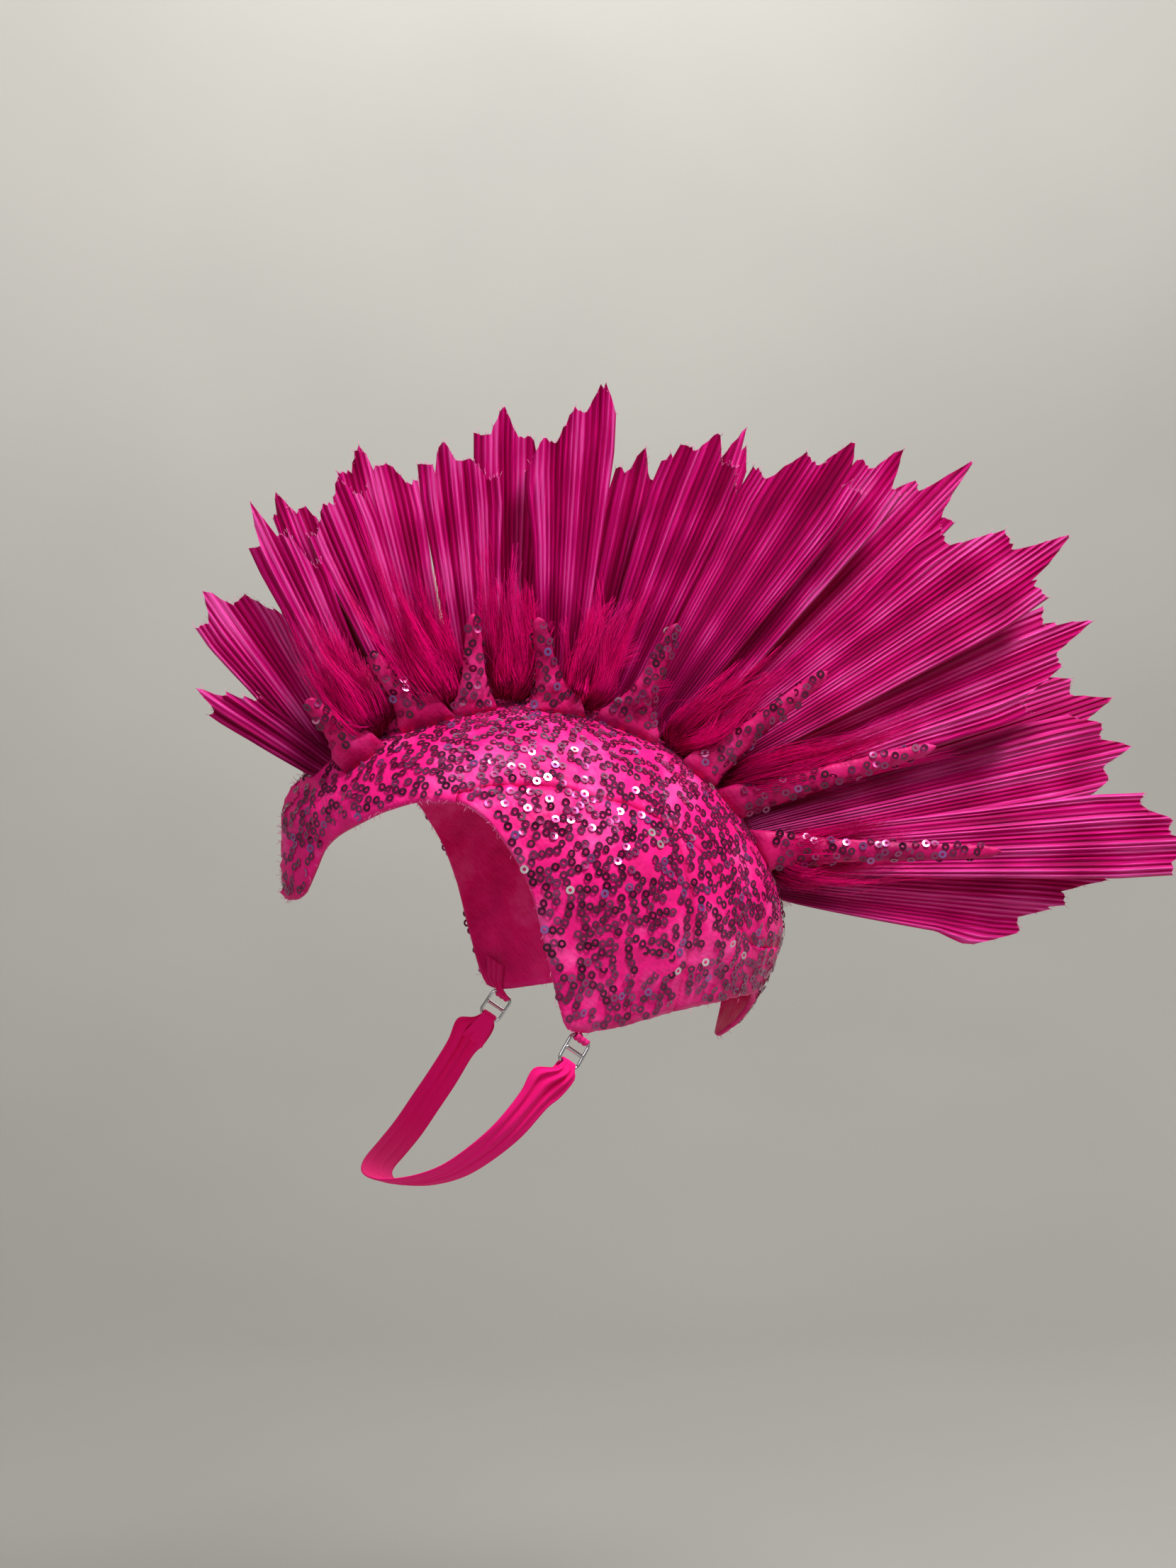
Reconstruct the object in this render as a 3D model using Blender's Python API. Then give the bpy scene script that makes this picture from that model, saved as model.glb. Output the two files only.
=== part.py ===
"""Sequin headpiece with a crest of pleated blades, cloth spikes, fluff tufts and a chin strap.

Metres, +Z up. The wearer faces -Y and the wearer's left is +X. The origin is the point inside
the crown that rests on the top of the head.
"""
import bpy
import bmesh
import math
from mathutils import Vector

for old in list(bpy.data.objects):
    bpy.data.objects.remove(old, do_unlink=True)

MM = 0.001

# Head form: the outer face of the cap, in millimetres
WALL = 2.5
CAP_FRONT = 88.0
CAP_BACK = 115.0
CAP_HALF = 80.0
RISE_FRONT = 47.5
RISE_SIDE = 73.0
RISE_BACK = 100.0
ROUND_BACK = 0.15
KEEL = 12.0
KEEL_SPREAD = 13.0
KEEL_SOFT = 2.5
TUCK_SIDE = 0.06
TUCK_BACK = 0.243
TUCK_DEPTH = 50.0
CAP_DROP = 145.0
EDGE_WAVE = 1.0
EDGE_WAVES = 11.0

# Fits
SEAM_GAP = 0.4
SEAM_SLACK = 1.15
SEAT_GAP = 0.45
WIRE_GAP = 0.45
SAG_TOP = 0.1
SAG_BACK = 0.5

# Columns and rows of the cap panels
PEAK_COLUMNS = (0.0, 5.0, 9.0, 12.0)
PEAK_TO = 16.0
COLUMN_STEP = 6.0
COLUMN_CLEAR = 1.5
CROWN_ROWS = 8
SIDE_ROWS = 5
EDGE_STEP = 0.6
SIDE_FROM = 58.0
SIDE_TO = 128.0

# Azimuth from the front in degrees, drop of the lower edge as a share of CAP_DROP
RIM_TABLE = (
    (0.0, 0.555), (5.0, 0.553), (9.0, 0.535), (12.0, 0.482), (16.0, 0.404), (21.0, 0.364),
    (28.0, 0.331), (38.0, 0.285), (48.0, 0.260), (58.0, 0.262), (66.0, 0.300), (74.0, 0.392),
    (80.0, 0.506), (84.5, 0.672), (88.0, 0.806), (91.5, 0.884), (97.0, 0.898), (108.0, 0.889),
    (122.0, 0.869), (140.0, 0.849), (160.0, 0.841), (168.0, 0.880), (175.0, 0.970), (180.0, 1.0),
)

# Azimuth in degrees, drop of the curved seam as a share of CAP_DROP
SEAM_TABLE = (
    (58.0, 0.233), (69.0, 0.214), (81.0, 0.216), (90.0, 0.222), (103.0, 0.250), (115.0, 0.275),
    (128.0, 0.337), (134.0, 0.400), (140.0, 0.490), (143.0, 0.590), (146.0, 0.665),
    (156.0, 0.702), (180.0, 0.718),
)

# Crest layers: distance from the middle plane and outward slope per unit of height
LAYER_TABLE = {
    "inner": (3.8, 0.035),
    "outer": (10.2, 0.095),
    "tuft": (17.6, 0.180),
    "spike": (26.5, 0.260),
}
CREST_Y = 15.0
CREST_Z = -75.0

# Pleated blades: foot and main point as shares of BLADE_REACH (y, z each), width share,
# depth of the saw cut as a share, place of the main point across the blade, side, layer
BLADE_REACH = 100.0
BLADE_WALL = 1.1
BLADE_FOOT = 12.0
BLADE_FULL = 0.85
BLADE_SWELL = 0.66
BLADE_RIDGES = 6
BLADE_STATIONS = (0.0, 0.22, 0.48, 0.74, 1.0)
TOOTH_FALL = 1.5
TOOTH_NOTCH = 0.3
PLEAT_DEPTH = 1.3
PLEAT_ROOT = 0.35
BLADE_TABLE = (
    (-0.850, -0.250, -1.378, 0.088, 0.19, 0.24, 0.1, 1, "outer"),
    (-0.790, -0.205, -1.340, 0.460, 0.36, 0.22, 0.2, 1, "inner"),
    (-0.650, -0.130, -1.168, 0.817, 0.25, 0.34, 0.2, 1, "outer"),
    (-0.560, -0.080, -1.010, 0.884, 0.28, 0.20, 0.3, -1, "inner"),
    (-0.450, -0.040, -0.780, 0.936, 0.31, 0.18, -0.2, 1, "inner"),
    (-0.340, -0.025, -0.635, 1.110, 0.33, 0.20, 0.1, -1, "outer"),
    (-0.190, -0.015, -0.350, 1.080, 0.34, 0.16, 0.1, 1, "outer"),
    (-0.040, -0.010, -0.060, 1.250, 0.36, 0.24, 0.1, 1, "inner"),
    (0.140, -0.015, 0.315, 1.345, 0.37, 0.26, -0.36, 1, "outer"),
    (0.260, -0.030, 0.585, 1.113, 0.30, 0.24, -0.2, -1, "inner"),
    (0.360, -0.050, 0.860, 1.170, 0.38, 0.22, 0.0, 1, "inner"),
    (0.450, -0.085, 1.100, 1.229, 0.40, 0.36, -0.36, -1, "outer"),
    (0.530, -0.120, 1.430, 1.120, 0.47, 0.34, -0.2, 1, "outer"),
    (0.620, -0.170, 1.690, 1.145, 0.38, 0.34, -0.1, 1, "inner"),
    (0.680, -0.210, 2.112, 1.128, 0.42, 0.54, -0.1, -1, "inner"),
    (0.760, -0.270, 2.400, 0.775, 0.54, 0.48, -0.1, 1, "outer"),
    (0.870, -0.370, 2.638, 0.354, 0.42, 0.44, 0.1, 1, "inner"),
    (0.950, -0.470, 2.930, 0.018, 0.44, 0.38, -0.2, -1, "outer"),
    (1.010, -0.560, 2.930, -0.190, 0.40, 0.28, 0.0, -1, "inner"),
    (1.060, -0.650, 3.060, -0.610, 0.38, 0.26, -0.1, 1, "outer"),
    (1.100, -0.770, 2.700, -0.790, 0.40, 0.40, 0.34, 1, "inner"),
)

# Cloth spikes: foot y, z and tip y, z as shares of BLADE_REACH, half width of the foot as a share
SPIKE_FOOT = 12.0
SPIKE_BODY = 6.0
SPIKE_TIP = 2.6
SPIKE_FLAT = 0.26
SPIKE_FLARE = 0.45
SPIKE_BLUNT = 0.5
SPIKE_LIFT = 1.0
SPIKE_SIDES = 8
SPIKE_STATIONS = (0.0, 0.12, 0.32, 0.62, 0.9, 1.0)
SPIKE_TABLE = (
    (-0.771, -0.156, -0.952, 0.019, 0.80), (-0.494, -0.027, -0.701, 0.204, 0.85),
    (-0.252, -0.010, -0.279, 0.367, 0.80), (0.082, -0.010, -0.006, 0.356, 1.05),
    (0.409, -0.078, 0.582, 0.335, 1.20), (0.730, -0.274, 1.226, 0.137, 0.75),
    (0.890, -0.410, 1.697, -0.177, 0.62), (1.000, -0.620, 1.988, -0.627, 0.76),
)

# Fluff tufts: foot y, z and end y, z as shares of BLADE_REACH, spread of the locks as a share
TUFT_LOCK = 3.4
TUFT_SPREAD = 15.0
TUFT_BOW = 2.5
TUFT_ROOT = 1.6
LOCK_SIDES = 5
TUFT_TABLE = (
    (-0.625, -0.120, -1.000, 0.270, 0.8), (-0.353, -0.018, -0.660, 0.560, 0.9),
    (-0.090, -0.013, -0.060, 0.480, 0.8), (0.219, -0.034, 0.330, 0.420, 1.1),
    (0.590, -0.200, 1.000, 0.160, 0.8), (0.830, -0.340, 1.700, -0.200, 0.6),
    (1.010, -0.660, 1.620, -0.660, 0.9),
)

# Locks of a tuft: place across it, share of its length, outward lean of the end
LOCK_TABLE = ((-1.0, 0.72, 1.2), (0.0, 1.0, 0.0), (1.0, 0.80, 2.4))

# Thickness along a lock: distance and size as shares
LOCK_SIZES = ((0.0, 0.75), (0.25, 1.0), (0.5, 0.85), (0.78, 0.5), (1.0, 0.12))

# Wire slides that join the strap to the cheek tabs
WIRE = 1.5
SLIDE_WIDE = 11.0
SLIDE_TALL = 14.0
SLIDE_AZIMUTH = 94.6
SLIDE_DROP = 137.4
SLIDE_TILT = 34.0
SLIDE_INSET = 1.9
SLIDE_CORNER = 2.2
SLIDE_BAR = 0.94
WIRE_SIDES = 6
WINDOW_CLOTH = 6.6
TAB_WALL = 1.0
TAB_LEG = 15.0
TAB_FLARE = 3.0
TAB_END = 0.4
TAB_INSET = 1.5

# Chin strap
STRAP_WALL = 1.2
STRAP_WIDE = 13.5
STRAP_FLARE = 17.0
STRAP_CREASE = 0.9
STRAP_TAIL = 13.0
STRAP_OPEN = 4.5
STRAP_LEAD = 3.5
STRAP_LIFT = 0.3
STRAP_REACH = 74.0
NECK_Y = 0.75
NECK_Z = -125.0

# Section of a cloth strip: place across its width, height as a share of the crease
FOLD_TABLE = ((-0.5, 0.0), (-0.18, 1.0), (0.16, -0.4), (0.5, 0.25))

# Distance along the strap from slide to chin: x, y, z as shares of STRAP_REACH
STRAP_TABLE = (
    (0.985, -0.080, -2.015), (0.960, -0.150, -2.110), (0.900, -0.270, -2.270),
    (0.800, -0.400, -2.410), (0.660, -0.530, -2.530), (0.480, -0.660, -2.610),
    (0.280, -0.770, -2.655), (0.090, -0.820, -2.670),
)


def smooth_lookup(table, x):
    """Read a two-column table with a monotone cubic through its rows."""
    if x <= table[0][0]:
        return table[0][1]
    if x >= table[-1][0]:
        return table[-1][1]
    n = len(table)
    slopes = []
    for i in range(n):
        if i in (0, n - 1):
            slopes.append(0.0)
            continue
        d0 = (table[i][1] - table[i - 1][1]) / (table[i][0] - table[i - 1][0])
        d1 = (table[i + 1][1] - table[i][1]) / (table[i + 1][0] - table[i][0])
        slopes.append(0.0 if d0 * d1 <= 0 else 2.0 * d0 * d1 / (d0 + d1))
    for i in range(n - 1):
        x0, y0 = table[i]
        x1, y1 = table[i + 1]
        if x0 <= x <= x1:
            h = x1 - x0
            t = (x - x0) / h
            a = (1 + 2 * t) * (1 - t) ** 2
            b = t * (1 - t) ** 2
            c = t * t * (3 - 2 * t)
            d = t * t * (t - 1)
            return a * y0 + b * h * slopes[i] + c * y1 + d * h * slopes[i + 1]
    return table[-1][1]


def radius(phi, z):
    """Distance from the vertical axis to the outer face at an azimuth (radians) and a height."""
    c = math.cos(phi)
    s = math.sin(phi)
    reach = CAP_FRONT if c > 0 else CAP_BACK
    a = 1.0 / math.sqrt((c / reach) ** 2 + (s / CAP_HALF) ** 2)
    back = max(0.0, -c)
    rise = RISE_SIDE + ((RISE_FRONT - RISE_SIDE) * c if c > 0 else (RISE_BACK - RISE_SIDE) * back)
    power = 2.0 - ROUND_BACK * back
    up = (z - (WALL - rise)) / rise
    if up >= 0:
        r = a * max(0.0, 1.0 - min(1.0, up) ** power) ** (1.0 / power)
    else:
        tuck = TUCK_SIDE * s * s + TUCK_BACK * back ** 1.5
        low = -up * rise / TUCK_DEPTH
        r = a * (1.0 - tuck * low ** 1.5)
        r += EDGE_WAVE * min(1.0, low) * math.sin(EDGE_WAVES * phi) ** 2
    d = abs(math.degrees(math.atan2(s, c)))
    d = math.sqrt(d * d + KEEL_SOFT ** 2) - KEEL_SOFT
    return r + KEEL * math.exp(-(d / KEEL_SPREAD) ** 1.3) * min(1.0, max(0.0, (WALL - z) / rise))


def on_cap(azimuth, z):
    """Point of the outer face at an azimuth in degrees."""
    phi = math.radians(azimuth)
    r = radius(phi, z)
    return Vector((r * math.sin(phi), -r * math.cos(phi), z))


def height_field(p):
    """Signed distance of a point from the outer face, first order."""
    def f(x, y, z):
        if z >= WALL:
            return math.hypot(x, y) + (z - WALL) * 4.0 + 0.01
        return math.hypot(x, y) - radius(math.atan2(x, -y), z)
    e = 0.2
    v = f(p.x, p.y, p.z)
    gx = (f(p.x + e, p.y, p.z) - f(p.x - e, p.y, p.z)) / (2 * e)
    gy = (f(p.x, p.y + e, p.z) - f(p.x, p.y - e, p.z)) / (2 * e)
    gz = (f(p.x, p.y, p.z + e) - f(p.x, p.y, p.z - e)) / (2 * e)
    return v / max(1.0, math.sqrt(gx * gx + gy * gy + gz * gz))


def cap_normal(azimuth, z):
    """Outward unit normal of the outer face."""
    da = 1.5
    dz = 0.6
    if z > WALL - 0.3:
        return Vector((0, 0, 1))
    top = min(z + dz, WALL - 0.02)
    u = on_cap(azimuth + da, z) - on_cap(azimuth - da, z)
    v = on_cap(azimuth, top) - on_cap(azimuth, z - dz)
    n = u.cross(v)
    n.normalize()
    return n


def rim_z(azimuth):
    return -CAP_DROP * smooth_lookup(RIM_TABLE, abs(azimuth))


def seam_z(azimuth):
    return -CAP_DROP * smooth_lookup(SEAM_TABLE, abs(azimuth))


def under_seam(azimuth):
    """Top edge of the panel under the seam, one gap away at right angles to the seam."""
    step = 0.5 * COLUMN_STEP
    slope = (seam_z(azimuth + step) - seam_z(azimuth - step)) / (CAP_HALF * math.radians(2 * step))
    return seam_z(azimuth) - SEAM_SLACK * SEAM_GAP * math.sqrt(1.0 + slope * slope)


def material(name, colour, rough, metal=0.0):
    """Principled material; the colour is given as sRGB hex."""
    mat = bpy.data.materials.new(name)
    mat.use_nodes = True
    rgb = []
    for i in (0, 2, 4):
        v = int(colour[i:i + 2], 16) / 255.0
        rgb.append(v / 12.92 if v <= 0.04045 else ((v + 0.055) / 1.055) ** 2.4)
    bsdf = mat.node_tree.nodes["Principled BSDF"]
    bsdf.inputs["Base Color"].default_value = (rgb[0], rgb[1], rgb[2], 1.0)
    bsdf.inputs["Roughness"].default_value = rough
    bsdf.inputs["Metallic"].default_value = metal
    mat.diffuse_color = (rgb[0], rgb[1], rgb[2], 1.0)
    return mat


def add_solid(name, points, faces, mat, smooth=True):
    """One closed mesh object from points in millimetres."""
    mesh = bpy.data.meshes.new(name)
    mesh.from_pydata([tuple(c * MM for c in p) for p in points], [], faces)
    work = bmesh.new()
    work.from_mesh(mesh)
    bmesh.ops.triangulate(work, faces=work.faces[:])
    bmesh.ops.recalc_face_normals(work, faces=work.faces[:])
    work.to_mesh(mesh)
    work.free()
    for face in mesh.polygons:
        face.use_smooth = smooth
    obj = bpy.data.objects.new(name, mesh)
    bpy.context.scene.collection.objects.link(obj)
    mesh.materials.append(mat)
    return obj


def panel_columns(start, stop):
    """Shared column azimuths between two ends."""
    cols = [start]
    k = math.ceil((start + COLUMN_CLEAR) / COLUMN_STEP)
    while k * COLUMN_STEP < stop - COLUMN_CLEAR:
        cols.append(k * COLUMN_STEP)
        k += 1
    cols.append(stop)
    return cols


def add_panel(name, cols, tops, bottoms, rows, mat):
    """Cloth panel between two edge curves, WALL thick and closed all round."""
    outer = []
    for azimuth, top, bottom in zip(cols, tops, bottoms):
        for j in range(rows + 1):
            z = top + (bottom - top) * j / rows
            p = on_cap(azimuth, z)
            outer.append((p, p - cap_normal(azimuth, z) * WALL))
    points = [o[0] for o in outer] + [o[1] for o in outer]
    n = len(outer)
    per = rows + 1
    faces = []
    for i in range(len(cols) - 1):
        for j in range(rows):
            a = i * per + j
            b = a + per
            faces.append((a, b, b + 1, a + 1))
            faces.append((n + a, n + a + 1, n + b + 1, n + b))
        for a in (i * per, i * per + rows):
            faces.append((a, a + per, n + a + per, n + a))
    for i in (0, len(cols) - 1):
        for j in range(rows):
            a = i * per + j
            faces.append((a, a + 1, n + a + 1, n + a))
    return add_solid(name, points, faces, mat)


def add_crown(mat):
    """Crown panel: from the pole down to the front edge and the curved seam."""
    half = list(PEAK_COLUMNS)
    half += panel_columns(PEAK_TO, SIDE_FROM - EDGE_STEP)
    half += panel_columns(SIDE_FROM, SIDE_TO)
    half += panel_columns(SIDE_TO + math.degrees(SEAM_GAP / CAP_HALF), 180.0)
    cols = half + [360.0 - a for a in reversed(half[1:-1])]
    points = [Vector((0, 0, WALL)), Vector((0, 0, 0))]
    outer = []
    inner = []
    for azimuth in cols:
        near = azimuth if azimuth <= 180.0 else azimuth - 360.0
        low = rim_z(near) if abs(near) < SIDE_FROM - 0.5 * EDGE_STEP else seam_z(near)
        for j in range(1, CROWN_ROWS + 1):
            share = 1.0 - math.cos(0.5 * math.pi * j / CROWN_ROWS)
            z = WALL - (WALL - low) * share
            p = on_cap(azimuth, z)
            outer.append(p)
            inner.append(p - cap_normal(azimuth, z) * WALL)
    first = 2
    second = first + len(outer)
    points += outer + inner
    faces = []
    count = len(cols)
    for i in range(count):
        a = first + i * CROWN_ROWS
        b = first + ((i + 1) % count) * CROWN_ROWS
        c = a + second - first
        d = b + second - first
        faces.append((0, a, b))
        faces.append((1, d, c))
        for j in range(CROWN_ROWS - 1):
            faces.append((a + j, a + j + 1, b + j + 1, b + j))
            faces.append((c + j, d + j, d + j + 1, c + j + 1))
        e = CROWN_ROWS - 1
        faces.append((a + e, c + e, d + e, b + e))
    return add_solid("cap_crown", points, faces, mat)


def crest_outline(angle):
    """Distance from the crest centre to the middle profile of the cap along a direction."""
    lo = 20.0
    hi = 160.0
    for _ in range(24):
        mid = 0.5 * (lo + hi)
        y = CREST_Y + mid * math.cos(angle)
        z = CREST_Z + mid * math.sin(angle)
        if height_field(Vector((0.0, y, z))) > 0:
            hi = mid
        else:
            lo = mid
    return 0.5 * (lo + hi)


def in_layer(layer, side, y, z):
    """Place a point of the flat crest layout in its leaning layer."""
    angle = math.atan2(z - CREST_Z, y - CREST_Y)
    height = max(0.0, math.hypot(y - CREST_Y, z - CREST_Z) - crest_outline(angle))
    base, slope = LAYER_TABLE[layer]
    return Vector((side * (base + slope * height), y, z))


def seat(point, along, reach=30.0):
    """Slide a foot point back along a direction until it nearly touches the cap."""
    p = point + along * reach
    best = p
    for _ in range(400):
        if height_field(p) <= SEAT_GAP:
            return best
        best = p.copy()
        p = p - along * 0.15
    return best


def add_blade(name, row, mat):
    """Pleated blade: a zigzag cloth plate that widens from a seated foot to a saw-cut end."""
    foot_y, foot_z, tip_y, tip_z, wide, tooth, peak, side, layer = row
    foot = Vector((0.0, foot_y * BLADE_REACH, foot_z * BLADE_REACH))
    point = Vector((0.0, tip_y * BLADE_REACH, tip_z * BLADE_REACH))
    aim = (point - foot).normalized()
    tip = point - Vector((0.0, -aim.z, aim.y)) * (peak * wide * BLADE_REACH)
    length = (tip - foot).length
    along = (tip - foot).normalized()
    across = Vector((0.0, -along.z, along.y))
    lead = round((peak + 0.5) * BLADE_RIDGES)
    sheets = ([], [])
    for k, t in enumerate(BLADE_STATIONS):
        swell = min(1.0, t / BLADE_FULL) ** BLADE_SWELL
        width = BLADE_FOOT + (wide * BLADE_REACH - BLADE_FOOT) * swell
        depth = PLEAT_DEPTH * (PLEAT_ROOT + (1.0 - PLEAT_ROOT) * t)
        for j in range(BLADE_RIDGES + 1):
            u = j / BLADE_RIDGES - 0.5
            reach = t * length
            notch = 0.0 if j % 2 == lead % 2 else TOOTH_NOTCH
            cut = tooth * BLADE_REACH * (abs(j - lead) / BLADE_RIDGES * TOOTH_FALL + notch)
            reach -= cut * max(0.0, t - 0.5) * 2.0
            flat = foot + along * reach + across * (u * width)
            p = in_layer(layer, side, flat.y, flat.z)
            fold = depth * (0.5 if j % 2 else -0.5)
            if k == 0:
                p = seat(p, along)
            for sheet, shift in zip(sheets, (0.5, -0.5)):
                q = p.copy()
                q.x += fold + shift * BLADE_WALL
                sheet.append(q)
    per = BLADE_RIDGES + 1
    n = len(sheets[0])
    faces = []
    for k in range(len(BLADE_STATIONS) - 1):
        for j in range(BLADE_RIDGES):
            a = k * per + j
            faces.append((a, a + 1, a + per + 1, a + per))
            faces.append((n + a, n + a + per, n + a + per + 1, n + a + 1))
        for j in (0, BLADE_RIDGES):
            a = k * per + j
            faces.append((a, a + per, n + a + per, n + a))
    for k in (0, len(BLADE_STATIONS) - 1):
        for j in range(BLADE_RIDGES):
            a = k * per + j
            faces.append((a, a + 1, n + a + 1, n + a))
    return add_solid(name, sheets[0] + sheets[1], faces, mat, smooth=False)


def add_spike(name, row, side, mat):
    """Padded cloth spike with a flared foot that follows the cap and a blunt tip."""
    foot = Vector((0.0, row[0] * BLADE_REACH, row[1] * BLADE_REACH))
    tip = Vector((0.0, row[2] * BLADE_REACH, row[3] * BLADE_REACH))
    length = (tip - foot).length
    along = (tip - foot).normalized()
    across = Vector((0.0, -along.z, along.y))
    sides = SPIKE_SIDES
    rings = []
    for k, t in enumerate(SPIKE_STATIONS):
        body = SPIKE_TIP + (SPIKE_BODY - SPIKE_TIP) * (1.0 - t)
        flare = (SPIKE_FOOT * row[4] - SPIKE_BODY) * max(0.0, 1.0 - t / SPIKE_FLARE) ** 2
        half = body + flare
        thick = 0.5 * SPIKE_TIP + (SPIKE_FOOT * SPIKE_FLAT - 0.5 * SPIKE_TIP) * (1.0 - t)
        if k == len(SPIKE_STATIONS) - 1:
            half *= SPIKE_BLUNT
            thick *= SPIKE_BLUNT
        ring = []
        for j in range(sides):
            ang = 2 * math.pi * j / sides
            flat = foot + along * (t * length) + across * (half * math.cos(ang))
            p = in_layer("spike", side, flat.y, flat.z)
            p.x += side * thick * math.sin(ang)
            if k == 0:
                p = seat(p, along)
            ring.append(p)
        rings.append(ring)
    for j in range(sides):
        gap = (rings[1][j] - rings[0][j]).dot(along)
        if gap < SPIKE_LIFT:
            rings[1][j] = rings[1][j] + along * (SPIKE_LIFT - gap)
    points = [p for ring in rings for p in ring]
    faces = []
    for k in range(len(rings) - 1):
        for j in range(sides):
            a = k * sides + j
            b = k * sides + (j + 1) % sides
            faces.append((a, b, b + sides, a + sides))
    last = (len(rings) - 1) * sides
    faces.append(tuple(range(sides - 1, -1, -1)))
    faces.append(tuple(last + j for j in range(sides)))
    return add_solid(name, points, faces, mat)


def lock_body(start, end, bow, root_size, mat, name):
    """One bowed, tapering lock of fluff as a closed tube."""
    axis = (end - start).normalized()
    ref = Vector((1, 0, 0))
    u = (ref - axis * ref.dot(axis)).normalized()
    v = axis.cross(u)
    sides = LOCK_SIDES
    points = []
    for t, size in LOCK_SIZES:
        mid = start.lerp(end, t) + v * (bow * 4 * t * (1 - t))
        for j in range(sides):
            ang = 2 * math.pi * j / sides
            points.append(mid + (u * math.cos(ang) + v * math.sin(ang)) * (root_size * size))
    faces = []
    for k in range(len(LOCK_SIZES) - 1):
        for j in range(sides):
            a = k * sides + j
            b = k * sides + (j + 1) % sides
            faces.append((a, b, b + sides, a + sides))
    last = (len(LOCK_SIZES) - 1) * sides
    faces.append(tuple(range(sides - 1, -1, -1)))
    faces.append(tuple(last + j for j in range(sides)))
    return add_solid(name, points, faces, mat)


def fuse(target, others):
    """Union several closed bodies into the first one."""
    for other in others:
        mod = target.modifiers.new("fuse", "BOOLEAN")
        mod.operation = "UNION"
        mod.solver = "EXACT"
        mod.object = other
        bpy.context.view_layer.objects.active = target
        bpy.ops.object.modifier_apply(modifier=mod.name)
        bpy.data.objects.remove(other, do_unlink=True)


def add_tuft(name, row, side, mat):
    """Fluff tuft: three locks fused to a small knotted head."""
    foot = Vector((0.0, row[0] * BLADE_REACH, row[1] * BLADE_REACH))
    end = Vector((0.0, row[2] * BLADE_REACH, row[3] * BLADE_REACH))
    length = (end - foot).length
    along = (end - foot).normalized()
    across = Vector((0.0, -along.z, along.y))
    base = in_layer("tuft", side, foot.y, foot.z)
    root = seat(base, along)
    locks = []
    spread = TUFT_SPREAD * row[4]
    for j, (shift, share, lean) in enumerate(LOCK_TABLE):
        flat = foot + along * (length * share) + across * (shift * spread)
        tip = in_layer("tuft", side, flat.y, flat.z)
        tip.x += side * lean
        start = root + across * (shift * TUFT_ROOT)
        bow = -shift * TUFT_BOW * side
        locks.append(lock_body(start, tip, bow, TUFT_LOCK, mat, "%s_lock%d" % (name, j)))
    body = locks[1]
    fuse(body, (locks[0], locks[2]))
    body.name = name
    body.data.name = name
    near = SEAT_GAP - (SAG_BACK if foot.y > 0.5 * BLADE_REACH else SAG_TOP)
    for _ in range(4):
        lift = near - min(height_field(v.co / MM) for v in body.data.vertices)
        for v in body.data.vertices:
            v.co += along * (lift * MM)
    for face in body.data.polygons:
        face.use_smooth = True
    return body


def slide_frame(side):
    """Centre and axes (across, down, out) of the wire slide under a cheek tip."""
    azimuth = SLIDE_AZIMUTH * side
    low = on_cap(azimuth, -SLIDE_DROP)
    out = cap_normal(azimuth, -SLIDE_DROP)
    out.z = 0.0
    out.normalize()
    down = Vector((0, 0, -1))
    front = Vector((0, -1, 0))
    front = (front - out * front.dot(out)).normalized()
    tilt = math.radians(SLIDE_TILT)
    down = (down * math.cos(tilt) + front * math.sin(tilt)).normalized()
    across = out.cross(down).normalized()
    centre = low - out * SLIDE_INSET
    return centre, across, down, out


def add_slide(name, side, mat):
    """Figure-8 wire slide: a rounded frame with a middle bar."""
    centre, across, down, out = slide_frame(side)
    half_w = 0.5 * (SLIDE_WIDE - WIRE)
    half_t = 0.5 * (SLIDE_TALL - WIRE)
    corner = SLIDE_CORNER
    path = []
    for quarter, (cx, cy) in enumerate(((1, 1), (-1, 1), (-1, -1), (1, -1))):
        for step in range(4):
            ang = 0.5 * math.pi * (quarter + step / 3)
            path.append((cx * (half_w - corner) + corner * math.cos(ang),
                         cy * (half_t - corner) + corner * math.sin(ang),
                         math.cos(ang), math.sin(ang)))
    sides = WIRE_SIDES
    points = []
    for x, y, nx, ny in path:
        for j in range(sides):
            ang = 2 * math.pi * j / sides
            r = 0.5 * WIRE * math.cos(ang)
            points.append(centre + across * (x + nx * r) + down * (y + ny * r)
                          + out * (0.5 * WIRE * math.sin(ang)))
    faces = []
    n = len(path)
    for i in range(n):
        for j in range(sides):
            a = i * sides + j
            b = i * sides + (j + 1) % sides
            c = ((i + 1) % n) * sides + (j + 1) % sides
            d = ((i + 1) % n) * sides + j
            faces.append((a, b, c, d))
    ring = add_solid(name, points, faces, mat)
    points = []
    for end in (-1, 1):
        for j in range(sides):
            ang = 2 * math.pi * j / sides
            r = 0.5 * SLIDE_BAR * WIRE
            points.append(centre + across * (end * half_w) + down * (r * math.cos(ang))
                          + out * (r * math.sin(ang)))
    faces = [tuple(range(sides)), tuple(range(2 * sides - 1, sides - 1, -1))]
    for j in range(sides):
        faces.append((j, (j + 1) % sides, sides + (j + 1) % sides, sides + j))
    bar = add_solid(name + "_bar", points, faces, mat)
    fuse(ring, (bar,))
    for face in ring.data.polygons:
        face.use_smooth = True
    return ring


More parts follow.
